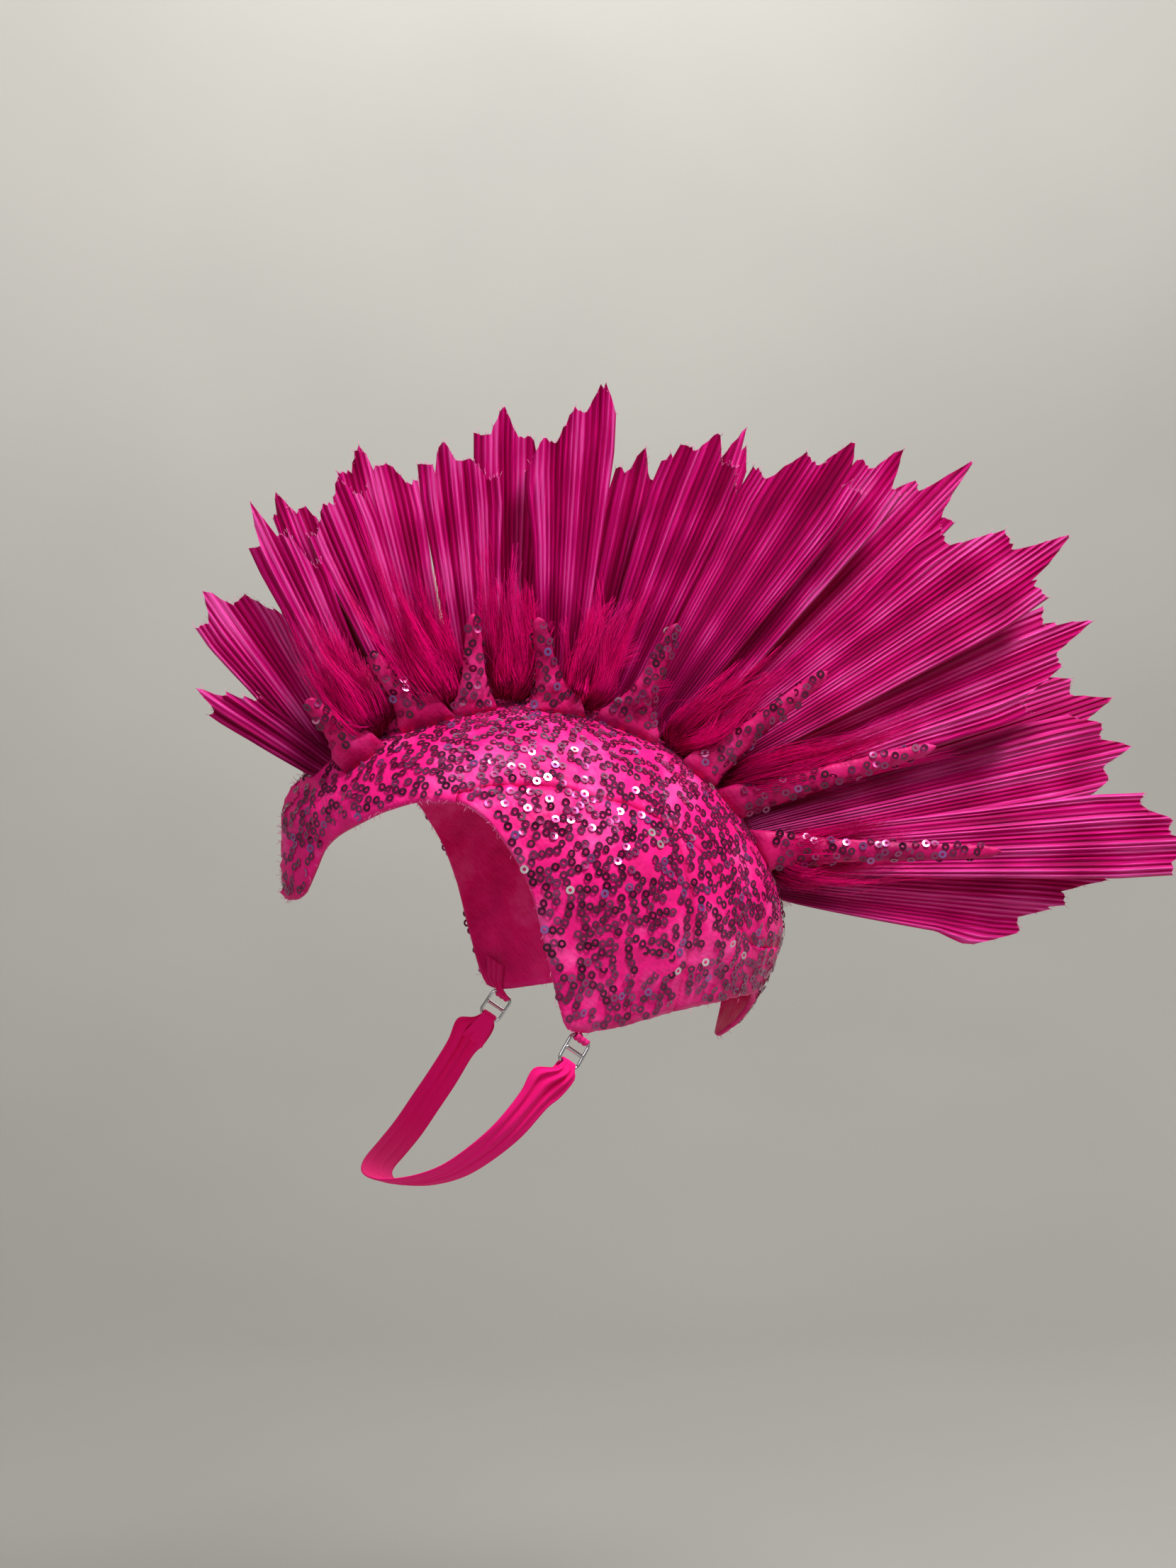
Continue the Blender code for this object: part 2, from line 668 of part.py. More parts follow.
def strip_solid(name, stations, mat):
    """Cloth strip from stations of (centre, across, out, width, wall, crease)."""
    per = len(FOLD_TABLE)
    face_out = []
    face_in = []
    for centre, across, out, width, wall, crease in stations:
        for u, v in FOLD_TABLE:
            p = centre + across * (u * width) + out * (v * crease)
            face_out.append(p + out * (0.5 * wall))
            face_in.append(p - out * (0.5 * wall))
    n = len(face_out)
    faces = []
    for i in range(len(stations) - 1):
        for j in range(per - 1):
            a = i * per + j
            faces.append((a, a + 1, a + per + 1, a + per))
            faces.append((n + a, n + a + per, n + a + per + 1, n + a + 1))
        for j in (0, per - 1):
            a = i * per + j
            faces.append((a, a + per, n + a + per, n + a))
    for i in (0, len(stations) - 1):
        for j in range(per - 1):
            a = i * per + j
            faces.append((a, a + 1, n + a + 1, n + a))
    return add_solid(name, face_out + face_in, faces, mat)


def hairpin(centre, across, down, out, bar_at, toward, wall, steps):
    """Half-turn stations round a slide bar; starts on the outer side and ends on the inner side."""
    reach = 0.5 * WIRE + WIRE_GAP + 0.5 * wall
    middle = centre + down * bar_at
    turned = []
    for k in range(steps + 1):
        ang = math.pi * k / steps
        normal = out * math.cos(ang) - down * (math.sin(ang) * toward)
        turned.append((middle + normal * reach, normal))
    return turned


def add_tab(name, side, mat):
    """Cheek tab: runs inside the cap edge, round the top bar of the slide and back up."""
    centre, across, down, out = slide_frame(side)
    bar_at = -0.5 * (SLIDE_TALL - WIRE)
    turned = hairpin(centre, across, down, out, bar_at, -1.0, TAB_WALL, 6)
    short = turned[0][0] - down * TAB_END
    stations = [(short, across, out, WINDOW_CLOTH, TAB_WALL, 0.0)]
    for p, normal in turned:
        stations.append((p, across, normal, WINDOW_CLOTH, TAB_WALL, 0.0))
    leg_start = turned[-1][0]
    for share in (0.35, 0.7, 1.0):
        z = leg_start.z + TAB_LEG * share
        depth = WALL + TAB_INSET + 0.5 * TAB_WALL
        inner = on_cap(SLIDE_AZIMUTH * side, z) - cap_normal(SLIDE_AZIMUTH * side, z) * depth
        wide = WINDOW_CLOTH + TAB_FLARE * share
        stations.append((inner, across, -out, wide, TAB_WALL, 0.0))
    return strip_solid(name, stations, mat)


def strap_half():
    """Centre line of the left half of the strap, from the slide to the middle of the chin."""
    return [Vector(row) * STRAP_REACH for row in STRAP_TABLE]


def add_strap(mat):
    """Chin strap in one piece from slide to slide, each end folded round the lower bar."""
    halves = []
    for side in (1, -1):
        centre, across, down, out = slide_frame(side)
        bar_at = 0.5 * (SLIDE_TALL - WIRE)
        turned = hairpin(centre, across, down, out, bar_at, 1.0, STRAP_WALL, 6)
        ends = []
        tail = turned[-1][0]
        for share in (1.0, 0.55):
            p = tail + down * (STRAP_TAIL * share) - out * (0.5 * STRAP_WALL * share)
            wide = WINDOW_CLOTH + STRAP_OPEN * share
            ends.append((p, across, -out, wide, STRAP_WALL, STRAP_LIFT * share))
        for p, normal in reversed(turned):
            ends.append((p, across, normal, WINDOW_CLOTH, STRAP_WALL, 0.0))
        front = turned[0][0]
        first = front + down * STRAP_LEAD + out * STRAP_LIFT
        ends.append((first, across, out, WINDOW_CLOTH + STRAP_OPEN, STRAP_WALL, STRAP_LIFT))
        line = [Vector((p.x * side, p.y, p.z)) for p in strap_half()]
        run = [first] + line
        count = len(line)
        for k, p in enumerate(line):
            after = line[k + 1] if k + 1 < count else Vector((-p.x, p.y, p.z))
            along = (after - run[k]).normalized()
            middle = Vector((0.0, NECK_Y * p.y, NECK_Z))
            normal = p - middle
            normal = (normal - along * normal.dot(along)).normalized()
            cross = normal.cross(along).normalized()
            wide = STRAP_FLARE if k == 0 else STRAP_WIDE
            ends.append((p, cross, normal, wide, STRAP_WALL, STRAP_CREASE))
        halves.append(ends)
    right = []
    for centre, across, out, width, wall, crease in reversed(halves[1]):
        right.append((centre, -across, out, width, wall, crease))
    return strip_solid("chin_strap", halves[0] + right, mat)


def build():
    """Make every piece of the headpiece."""
    satin = material("sequin_satin", "E82A86", 0.45)
    pleat = material("pleated_satin", "A8005A", 0.55)
    fluff = material("marabou_fluff", "B80068", 0.9)
    band = material("strap_jersey", "F5127A", 0.8)
    wire = material("slide_chrome", "C8C8CC", 0.2, 1.0)

    def own(mat, node):
        copy = mat.copy()
        copy.name = mat.name + "_" + node
        return copy

    add_crown(own(satin, "crown"))
    gap = math.degrees(SEAM_GAP / CAP_HALF)
    for side, word in ((1, "left"), (-1, "right")):
        cols = panel_columns(SIDE_FROM, SIDE_TO)
        cols = [side * a for a in cols]
        tops = [under_seam(abs(a)) for a in cols]
        lows = [rim_z(a) for a in cols]
        add_panel("cap_side_" + word, cols, tops, lows, SIDE_ROWS, own(satin, "side_" + word))
    cols = panel_columns(SIDE_TO + gap, 180.0)
    cols += [360.0 - a for a in reversed(cols[:-1])]
    near = [a if a <= 180.0 else a - 360.0 for a in cols]
    tops = [under_seam(abs(a)) for a in near]
    lows = [rim_z(a) for a in near]
    add_panel("cap_nape", cols, tops, lows, SIDE_ROWS, own(satin, "nape"))
    for k, row in enumerate(BLADE_TABLE):
        add_blade("fan_%02d" % (k + 1), row, own(pleat, "fan_%02d" % (k + 1)))
    for side, word in ((1, "left"), (-1, "right")):
        for k, row in enumerate(SPIKE_TABLE):
            node = "spike_%s_%d" % (word, k + 1)
            add_spike(node, row, side, own(satin, node))
        for k, row in enumerate(TUFT_TABLE):
            node = "tuft_%s_%d" % (word, k + 1)
            add_tuft(node, row, side, own(fluff, node))
        add_slide("strap_slide_" + word, side, own(wire, "slide_" + word))
        add_tab("slide_tab_" + word, side, own(satin, "tab_" + word))
    add_strap(own(band, "strap"))


build()
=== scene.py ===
"""Looks of a sequin headpiece: satin cap with sewn sequins, a crest of pleated blades,
padded spikes, fluff tufts, wire slides and a jersey chin strap.

Laid out as an add-on and run as a script. Shapes are worked out in millimetres.
"""
import math
import random

import bmesh
import bpy
import numpy as np
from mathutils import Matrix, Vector, noise


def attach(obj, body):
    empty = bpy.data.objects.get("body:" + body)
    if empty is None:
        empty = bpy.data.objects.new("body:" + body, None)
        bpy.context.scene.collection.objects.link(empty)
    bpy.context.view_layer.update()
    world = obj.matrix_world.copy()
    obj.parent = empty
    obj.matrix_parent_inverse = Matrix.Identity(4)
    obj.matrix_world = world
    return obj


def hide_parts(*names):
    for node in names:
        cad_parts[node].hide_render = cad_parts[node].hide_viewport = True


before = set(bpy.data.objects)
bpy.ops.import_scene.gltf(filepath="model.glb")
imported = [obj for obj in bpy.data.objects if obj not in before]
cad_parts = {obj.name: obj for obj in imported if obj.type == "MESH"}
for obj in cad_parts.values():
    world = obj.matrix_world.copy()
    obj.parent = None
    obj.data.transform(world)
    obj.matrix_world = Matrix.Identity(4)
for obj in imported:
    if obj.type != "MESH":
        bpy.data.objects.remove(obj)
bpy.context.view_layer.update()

bl_info = {
    "name": "Sequin headpiece",
    "version": (1, 0, 0),
    "blender": (4, 5, 0),
    "location": "View3D > Sidebar > Headpiece",
    "description": "Builds the cloth, sequins, crest and strap of a stage headpiece",
    "category": "Object",
}

MM = 0.001
SEED = 20517
SIDES = ((1, "left"), (-1, "right"))

# Head form, the same values as the solids
WALL = 2.5
CAP_FRONT = 88.0
CAP_BACK = 115.0
CAP_HALF = 80.0
RISE_FRONT = 47.5
RISE_SIDE = 73.0
RISE_BACK = 100.0
ROUND_BACK = 0.15
KEEL = 12.0
KEEL_SPREAD = 13.0
KEEL_SOFT = 2.5
TUCK_SIDE = 0.06
TUCK_BACK = 0.243
TUCK_DEPTH = 50.0
CAP_DROP = 145.0
EDGE_WAVE = 1.0
EDGE_WAVES = 11.0
SEAT_GAP = 0.45
WIRE_GAP = 0.45
SIDE_FROM = 58.0
SIDE_TO = 128.0
PEAK_SEAM = -64.0

# Azimuth from the front in degrees, drop of the lower edge as a share of CAP_DROP
RIM_TABLE = (
    (0.0, 0.555), (5.0, 0.553), (9.0, 0.535), (12.0, 0.482), (16.0, 0.404), (21.0, 0.364),
    (28.0, 0.331), (38.0, 0.285), (48.0, 0.260), (58.0, 0.262), (66.0, 0.300), (74.0, 0.392),
    (80.0, 0.506), (84.5, 0.672), (88.0, 0.806), (91.5, 0.884), (97.0, 0.898), (108.0, 0.889),
    (122.0, 0.869), (140.0, 0.849), (160.0, 0.841), (168.0, 0.880), (175.0, 0.970), (180.0, 1.0),
)

# Azimuth in degrees, drop of the curved seam as a share of CAP_DROP
SEAM_TABLE = (
    (58.0, 0.233), (69.0, 0.214), (81.0, 0.216), (90.0, 0.222), (103.0, 0.250), (115.0, 0.275),
    (128.0, 0.337), (134.0, 0.400), (140.0, 0.490), (143.0, 0.590), (146.0, 0.665),
    (156.0, 0.702), (180.0, 0.718),
)

# Crest layers: distance from the middle plane and outward slope per unit of height
LAYER_TABLE = {
    "inner": (3.8, 0.035),
    "outer": (10.2, 0.095),
    "tuft": (17.6, 0.180),
    "spike": (26.5, 0.260),
}
CREST_Y = 15.0
CREST_Z = -75.0

# Dressed cloth: column steps in degrees, rows down each panel, lining and seam allowances,
# reach and depth of a rolled edge; NO_EDGE stands for an edge too far to matter
PANEL_STEP = 1.4
CROWN_STEPS = (1.2, 1.5)
CROWN_ROWS = 46
SIDE_ROWS = 34
NAPE_ROWS = 30
LINING = WALL - 0.2
SEAM_ALLOWANCE = 0.12
ROLL_REACH = 1.7
ROLL_DEPTH = 1.0
NO_EDGE = 99.0
# crumples from broad to small: noise scale per millimetre, shift of the noise, height
CRUMPLES = ((0.055, (0, 0, 0), 0.55), (0.14, (9, 3, 1), 0.4), (0.34, (0, 0, 0), 0.22))
PUCKER_HEIGHT = 1.3
PUCKER_REACH = 4.0
PEAK_FOLDS = 1.6
CHEEK_FOLDS = 0.9
# ridge seam of the centre front: height that it starts under, half width and softness in degrees
RIDGE_FROM = -8.0
RIDGE_HALF = 5.0
RIDGE_SOFT = 1.2

# Sequins: facets, height over the form, lean in degrees on cap and spikes, cell width for the
# places taken, misses before the cap counts as full; sequins drawn past MAROON_SHARE are violet
SEQUIN_SIDES = 10
SEQUIN_LIFT = 0.42
CAP_LEAN = 8.0
SPIKE_LEAN = 12.0
SPOT_CELL = 4.2
MAROON_SHARE = 0.93
# draws past WHITE_FROM give pale sequins: painted glints
WHITE_FROM = 0.985
MISSES_ALLOWED = 6000
# sewn chains: shortest and longest, tries for the next sequin, turn of the chain in radians, and
# the least distances to a new chain, to other sequins and to the one before, as shares of the step
CHAIN = (2, 9)
CHAIN_TRIES = 5
CHAIN_TURN = (0.8, 0.25)
NEW_CHAIN_GAP = 1.16
SIDE_GAP = 1.02
NEXT_GAP = 0.9
# where no sequin is sewn: near the rim and seams, and under the crest behind the brow
RIM_MARGIN = 2.0
SEAM_MARGIN = 0.9
CREST_HALF = 14.0
CREST_LOW = -92.0
BROW_HALF = 30.0
BROW_TOP = -27.0

# Pleated blades: saw cuts run over BLADE_RIDGES ridges, and the fine teeth on them are pinked
BLADE_REACH = 100.0
BLADE_FOOT = 12.0
BLADE_FULL = 0.85
BLADE_SWELL = 0.66
BLADE_ROWS = 26
BLADE_CLOTH = 0.34
BLADE_RIDGES = 6
CUT_FALL = 1.5
CUT_NOTCH = 0.30
DEEPEST_FOLD = 1.15
PINK_HEIGHT = 1.5
PINK_STEP = 0.8
BROAD_WAVE = 1.3
BLADE_TWIST = 1.5
BLADE_BOW = 1.7
ROOT_GAP = 0.2
FRAY_PER_TIP = 2
FRAY_RADIUS = 0.08
# painted shade of each blade: paler in front and at the rear, deep in the middle where the blades sit
# recessed in shade
BLADE_SHADE = (0.08, 0.12, 0.1, 0.02, 0.14, 0.06, 0.1, 0.0, -0.06, -0.2, -0.16, -0.06, -0.14, 0.0,
             0.08, 0.02, 0.1, 0.04, 0.12, 0.06, 0.16)
# foot and main point as shares of BLADE_REACH (y, z each), width share, depth of the saw cut as
# a share, place of the main point across the blade, side, layer
BLADE_TABLE = (
    (-0.850, -0.250, -1.378, 0.088, 0.19, 0.24, 0.1, 1, "outer"),
    (-0.790, -0.205, -1.340, 0.460, 0.36, 0.22, 0.2, 1, "inner"),
    (-0.650, -0.130, -1.168, 0.817, 0.25, 0.34, 0.2, 1, "outer"),
    (-0.560, -0.080, -1.010, 0.884, 0.28, 0.20, 0.3, -1, "inner"),
    (-0.450, -0.040, -0.780, 0.936, 0.31, 0.18, -0.2, 1, "inner"),
    (-0.340, -0.025, -0.635, 1.110, 0.33, 0.20, 0.1, -1, "outer"),
    (-0.190, -0.015, -0.350, 1.080, 0.34, 0.16, 0.1, 1, "outer"),
    (-0.040, -0.010, -0.060, 1.250, 0.36, 0.24, 0.1, 1, "inner"),
    (0.140, -0.015, 0.315, 1.345, 0.37, 0.26, -0.36, 1, "outer"),
    (0.260, -0.030, 0.585, 1.113, 0.30, 0.24, -0.2, -1, "inner"),
    (0.360, -0.050, 0.860, 1.170, 0.38, 0.22, 0.0, 1, "inner"),
    (0.450, -0.085, 1.100, 1.229, 0.40, 0.36, -0.36, -1, "outer"),
    (0.530, -0.120, 1.430, 1.120, 0.47, 0.34, -0.2, 1, "outer"),
    (0.620, -0.170, 1.690, 1.145, 0.38, 0.34, -0.1, 1, "inner"),
    (0.680, -0.210, 2.112, 1.128, 0.42, 0.54, -0.1, -1, "inner"),
    (0.760, -0.270, 2.400, 0.775, 0.54, 0.48, -0.1, 1, "outer"),
    (0.870, -0.370, 2.638, 0.354, 0.42, 0.44, 0.1, 1, "inner"),
    (0.950, -0.470, 2.930, 0.018, 0.44, 0.38, -0.2, -1, "outer"),
    (1.010, -0.560, 2.930, -0.190, 0.40, 0.28, 0.0, -1, "inner"),
    (1.060, -0.650, 3.060, -0.610, 0.38, 0.26, -0.1, 1, "outer"),
    (1.100, -0.770, 2.700, -0.790, 0.40, 0.40, 0.34, 1, "inner"),
)

# Cloth spikes: RING_RISE keeps the rings apart over the foot, INNER_SHARE of the sequins are
# tried on the inner face, and none is closer than CAP_MARGIN to the cap
SPIKE_FOOT = 12.0
SPIKE_BODY = 6.0
SPIKE_TIP = 2.6
SPIKE_FLAT = 0.26
SPIKE_FLARE = 0.45
SPIKE_ROWS = 30
SPIKE_SIDES = 28
SPIKE_CLOSES = 0.88
RING_RISE = 0.35
SPIKE_TRIES = 500
SPIKE_SPACING = 3.3
INNER_SHARE = 0.35
CAP_MARGIN = 1.6
# foot y, z and tip y, z as shares of BLADE_REACH, half width of the foot as a share of SPIKE_FOOT
SPIKE_TABLE = (
    (-0.771, -0.156, -0.952, 0.019, 0.80), (-0.494, -0.027, -0.701, 0.204, 0.85),
    (-0.252, -0.010, -0.279, 0.367, 0.80), (0.082, -0.010, -0.006, 0.356, 1.05),
    (0.409, -0.078, 0.582, 0.335, 1.20), (0.730, -0.274, 1.226, 0.137, 0.75),
    (0.890, -0.410, 1.697, -0.177, 0.62), (1.000, -0.620, 1.988, -0.627, 0.76),
)

# Fluff tufts: the ranges are for a whole tuft's sway, a clump's puff and shade, and the short down
TUFT_SPREAD = 15.0
TUFT_GAP = 1.2
FIBRE_POINTS = 8
FIBRE_RADIUS = 0.15
CLUMPS = 30
SWAY = (3.0, 8.0)
CURL = 4.6
FULL_PUFF = (9.0, 14.0)
FLAT_PUFF = (0.5, 5.0)
CLUMP_SHADE = (-0.12, 0.42)
DOWN_LENGTH = (5.0, 12.0)
# foot y, z and end y, z as shares of BLADE_REACH, spread of the locks as a share of TUFT_SPREAD
TUFT_TABLE = (
    (-0.625, -0.120, -1.000, 0.270, 0.8), (-0.353, -0.018, -0.660, 0.560, 0.9),
    (-0.090, -0.013, -0.060, 0.480, 0.8), (0.219, -0.034, 0.330, 0.420, 1.1),
    (0.590, -0.200, 1.000, 0.160, 0.8), (0.830, -0.340, 1.700, -0.200, 0.6),
    (1.010, -0.660, 1.620, -0.660, 0.9),
)

# Wire slides and cheek tabs
WIRE = 1.5
SLIDE_WIDE = 11.0
SLIDE_TALL = 14.0
SLIDE_AZIMUTH = 94.6
SLIDE_DROP = 137.4
SLIDE_TILT = 34.0
SLIDE_INSET = 1.9
WINDOW_CLOTH = 6.6
TAB_WALL = 1.0
TAB_LEG = 15.0
SLIDE_CORNER = 2.6
SLIDE_WAIST = 0.9
WIRE_SIDES = 18
BAR_RINGS = 9

# Loose threads: radius, share on the ridge seam, share that the front rim's threads end at
THREAD_RADIUS = 0.09
SEAM_THREADS = 0.2
FRONT_THREADS = 0.85

# Chin strap
STRAP_WALL = 1.2
STRAP_WIDE = 13.5
STRAP_FLARE = 17.0
STRAP_TAIL = 13.0
STRAP_REACH = 74.0
STRIP_COLUMNS = 33
HAIRPIN_STEPS = 6
STRAP_FINER = 6
TAB_FINER = 5
STRAP_TABLE = (
    (0.985, -0.080, -2.015), (0.960, -0.150, -2.110), (0.900, -0.270, -2.270),
    (0.800, -0.400, -2.410), (0.660, -0.530, -2.530), (0.480, -0.660, -2.610),
    (0.280, -0.770, -2.655), (0.090, -0.820, -2.670),
)

# Camera at the photograph's angle: degrees, metres, millimetres
CAMERA_AZIMUTH = 75.0
CAMERA_ELEVATION = 2.0
CAMERA_DISTANCE = 0.968
CAMERA_LENS = 52.0
CAMERA_AIM = (0.0, 0.030, -0.034)

# Seamless bowl round the headpiece, in metres
FLOOR_Z = -0.55
FLOOR_HALF = 0.5
BOWL_REACH = 3.0
BOWL_CORNER = 2.0
BOWL_TOP = 3.6
BOWL_SIDES = 96
CORNER_STEPS = 24

# Lamps: name, place, size, watts, colour, and the point that each one faces
LAMP_AIM = (0.0, 0.03, -0.05)
LAMPS = (
    ("key_lamp", (0.78, 0.4, 1.15), (0.42, 0.42), 26.0, "FFFFFF", LAMP_AIM),
    ("overhead_soft", (0.2, 0.5, 1.7), (1.4, 1.0), 7.0, "FFFFFF", LAMP_AIM),
    ("front_fill", (1.3, -1.0, 0.72), (1.0, 0.9), 8.0, "FCFCFF", LAMP_AIM),
    ("back_rim", (-0.9, 1.3, 1.0), (1.0, 1.0), 7.0, "FFFFFF", LAMP_AIM),
    ("wall_wash", (-1.5, 0.4, 2.4), (1.8, 1.0), 76.0, "FFFFFF", (-3.0, 0.8, 2.1)),
)
ROOM_COLOUR = "E6E8EA"
ROOM_STRENGTH = 0.34


# Form

def smooth_lookup(table, x):
    """Read a two-column table with a monotone cubic through its rows."""
    if x <= table[0][0]:
        return table[0][1]
    if x >= table[-1][0]:
        return table[-1][1]
    n = len(table)
    slopes = [0.0] * n
    for i in range(1, n - 1):
        d0 = (table[i][1] - table[i - 1][1]) / (table[i][0] - table[i - 1][0])
        d1 = (table[i + 1][1] - table[i][1]) / (table[i + 1][0] - table[i][0])
        slopes[i] = 0.0 if d0 * d1 <= 0 else 2.0 * d0 * d1 / (d0 + d1)
    for i in range(n - 1):
        x0, y0 = table[i]
        x1, y1 = table[i + 1]
        if x0 <= x <= x1:
            h = x1 - x0
            t = (x - x0) / h
            a = (1 + 2 * t) * (1 - t) ** 2
            b = t * (1 - t) ** 2
            c = t * t * (3 - 2 * t)
            d = t * t * (t - 1)
            return a * y0 + b * h * slopes[i] + c * y1 + d * h * slopes[i + 1]
    return table[-1][1]


def radius(phi, z):
    """Distance from the vertical axis to the outer face at an azimuth (radians) and a height."""
    c = math.cos(phi)
    s = math.sin(phi)
    reach = CAP_FRONT if c > 0 else CAP_BACK
    a = 1.0 / math.sqrt((c / reach) ** 2 + (s / CAP_HALF) ** 2)
    back = max(0.0, -c)
    ahead = max(0.0, c)
    rise = RISE_SIDE + (RISE_FRONT - RISE_SIDE) * ahead + (RISE_BACK - RISE_SIDE) * back
    power = 2.0 - ROUND_BACK * back
    up = (z - (WALL - rise)) / rise
    if up >= 0:
        r = a * max(0.0, 1.0 - min(1.0, up) ** power) ** (1.0 / power)
    else:
        tuck = TUCK_SIDE * s * s + TUCK_BACK * back ** 1.5
        low = -up * rise / TUCK_DEPTH
        r = a * (1.0 - tuck * low ** 1.5)
        r += EDGE_WAVE * min(1.0, low) * math.sin(EDGE_WAVES * phi) ** 2
    d = abs(math.degrees(math.atan2(s, c)))
    d = math.sqrt(d * d + KEEL_SOFT ** 2) - KEEL_SOFT
    return r + KEEL * math.exp(-(d / KEEL_SPREAD) ** 1.3) * min(1.0, max(0.0, (WALL - z) / rise))


def on_cap(azimuth, z):
    """Point of the outer face at an azimuth in degrees and a height."""
    phi = math.radians(azimuth)
    r = radius(phi, z)
    return Vector((r * math.sin(phi), -r * math.cos(phi), z))


def cap_field(p):
    """Signed distance from the outer face and its outward direction."""
    def f(x, y, z):
        if z >= WALL:
            return math.hypot(x, y) + (z - WALL) * 4.0 + 0.01
        return math.hypot(x, y) - radius(math.atan2(x, -y), z)
    e = 0.2
    v = f(p.x, p.y, p.z)
    g = Vector((f(p.x + e, p.y, p.z) - f(p.x - e, p.y, p.z),
                f(p.x, p.y + e, p.z) - f(p.x, p.y - e, p.z),
                f(p.x, p.y, p.z + e) - f(p.x, p.y, p.z - e))) / (2 * e)
    return v / max(1.0, g.length), g.normalized()


def cap_normal(azimuth, z):
    """Outward unit normal of the outer face."""
    if z > WALL - 0.3:
        return Vector((0, 0, 1))
    top = min(z + 0.6, WALL - 0.02)
    u = on_cap(azimuth + 1.5, z) - on_cap(azimuth - 1.5, z)
    v = on_cap(azimuth, top) - on_cap(azimuth, z - 0.6)
    n = u.cross(v)
    n.normalize()
    return n


def rim_z(azimuth):
    """Height of the cap's lower edge."""
    return -CAP_DROP * smooth_lookup(RIM_TABLE, abs(azimuth))


def seam_z(azimuth):
    """Height of the curved side seam."""
    return -CAP_DROP * smooth_lookup(SEAM_TABLE, abs(azimuth))


def outline_table():
    """Crest outline of the cap every two degrees round the crest centre."""
    table = []
    for k in range(181):
        angle = math.radians(2.0 * k - 180.0)
        lo, hi = 20.0, 160.0
        for _ in range(18):
            mid = 0.5 * (lo + hi)
            p = Vector((0.0, CREST_Y + mid * math.cos(angle), CREST_Z + mid * math.sin(angle)))
            if cap_field(p)[0] > 0:
                hi = mid
            else:
                lo = mid
        table.append(0.5 * (lo + hi))
    return table


OUTLINE = outline_table()


def crest_run(foot_y, foot_z, tip_y, tip_z):
    """Foot, tip, directions along and across, and length of a crest piece in the flat layout."""
    foot = Vector((0.0, foot_y, foot_z)) * BLADE_REACH
    tip = Vector((0.0, tip_y, tip_z)) * BLADE_REACH
    along = (tip - foot).normalized()
    return foot, tip, along, Vector((0.0, -along.z, along.y)), (tip - foot).length


def in_layer(layer, side, y, z):
    """Place a point of the flat crest layout in its leaning layer."""
    angle = math.degrees(math.atan2(z - CREST_Z, y - CREST_Y)) + 180.0
    k = min(179, int(angle / 2.0))
    share = angle / 2.0 - k
    edge = OUTLINE[k] * (1 - share) + OUTLINE[k + 1] * share
    height = max(0.0, math.hypot(y - CREST_Y, z - CREST_Z) - edge)
    base, slope = LAYER_TABLE[layer]
    return Vector((side * (base + slope * height), y, z))


def seat(point, along, gap=SEAT_GAP, reach=30.0):
    """Slide a foot point back along a direction until it nearly touches the cap."""
    p = point + along * reach
    best = p
    for _ in range(400):
        if cap_field(p)[0] <= gap:
            return best
        best = p.copy()
        p = p - along * 0.15
    return best


# Meshes

def add_mesh(name, points, faces, mat, nodes=(), smooth=True, attrs=None, uvs=None):
    """A piece of the headpiece from millimetre points; it rides on the root body."""
    mesh = bpy.data.meshes.new(name)
    mesh.from_pydata([(p[0] * MM, p[1] * MM, p[2] * MM) for p in points], [], faces)
    if attrs:
        for key, values in attrs.items():
            layer = mesh.attributes.new(key, "FLOAT", "POINT")
            layer.data.foreach_set("value", np.asarray(values, dtype=np.float32))
    if uvs is not None:
        layer = mesh.uv_layers.new(name="UVMap")
        loops = np.empty(len(mesh.loops), dtype=np.int32)
        mesh.loops.foreach_get("vertex_index", loops)
        layer.data.foreach_set("uv", np.asarray(uvs, dtype=np.float32)[loops].ravel())
    mesh.polygons.foreach_set("use_smooth", [smooth] * len(mesh.polygons))
    mesh.materials.append(mat)
    obj = bpy.data.objects.new(name, mesh)
    bpy.context.scene.collection.objects.link(obj)
    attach(obj, "root")
    if nodes:
        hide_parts(*nodes)
    return obj


def face_out(obj):
    """Turn all faces of a closed mesh outwards."""
    work = bmesh.new()
    work.from_mesh(obj.data)
    bmesh.ops.recalc_face_normals(work, faces=work.faces[:])
    work.to_mesh(obj.data)
    work.free()
    return obj


def two_sided(rows, cols, closed=False):
    """Faces of a thick sheet held as two grids of rows x cols points, front grid first."""
    n = rows * cols
    faces = []
    span = rows if closed else rows - 1
    for i in range(span):
        a0 = i * cols
        b0 = ((i + 1) % rows) * cols
        for j in range(cols - 1):
            faces.append((a0 + j, a0 + j + 1, b0 + j + 1, b0 + j))
            faces.append((n + a0 + j, n + b0 + j, n + b0 + j + 1, n + a0 + j + 1))
        for j in (0, cols - 1):
            faces.append((a0 + j, b0 + j, n + b0 + j, n + a0 + j))
    if not closed:
        for i in (0, rows - 1):
            for j in range(cols - 1):
                a = i * cols + j
                faces.append((a, a + 1, n + a + 1, n + a))
    return faces


def ring_walls(count, sides, closed=False):
    """Faces between rings of points; where closed, the last ring joins the first."""
    faces = []
    for i in range(count if closed else count - 1):
        a = i * sides
        b = ((i + 1) % count) * sides
        for j in range(sides):
            k = (j + 1) % sides
            faces.append((a + j, a + k, b + k, b + j))
    return faces


def tube_faces(count, sides):
    """Faces of a row of rings with both ends capped."""
    faces = ring_walls(count, sides)
    faces.append(tuple(range(sides - 1, -1, -1)))
    faces.append(tuple((count - 1) * sides + j for j in range(sides)))
    return faces


def any_way(rng):
    """Vector of random direction and length."""
    return Vector((rng.gauss(0, 1), rng.gauss(0, 1), rng.gauss(0, 1)))


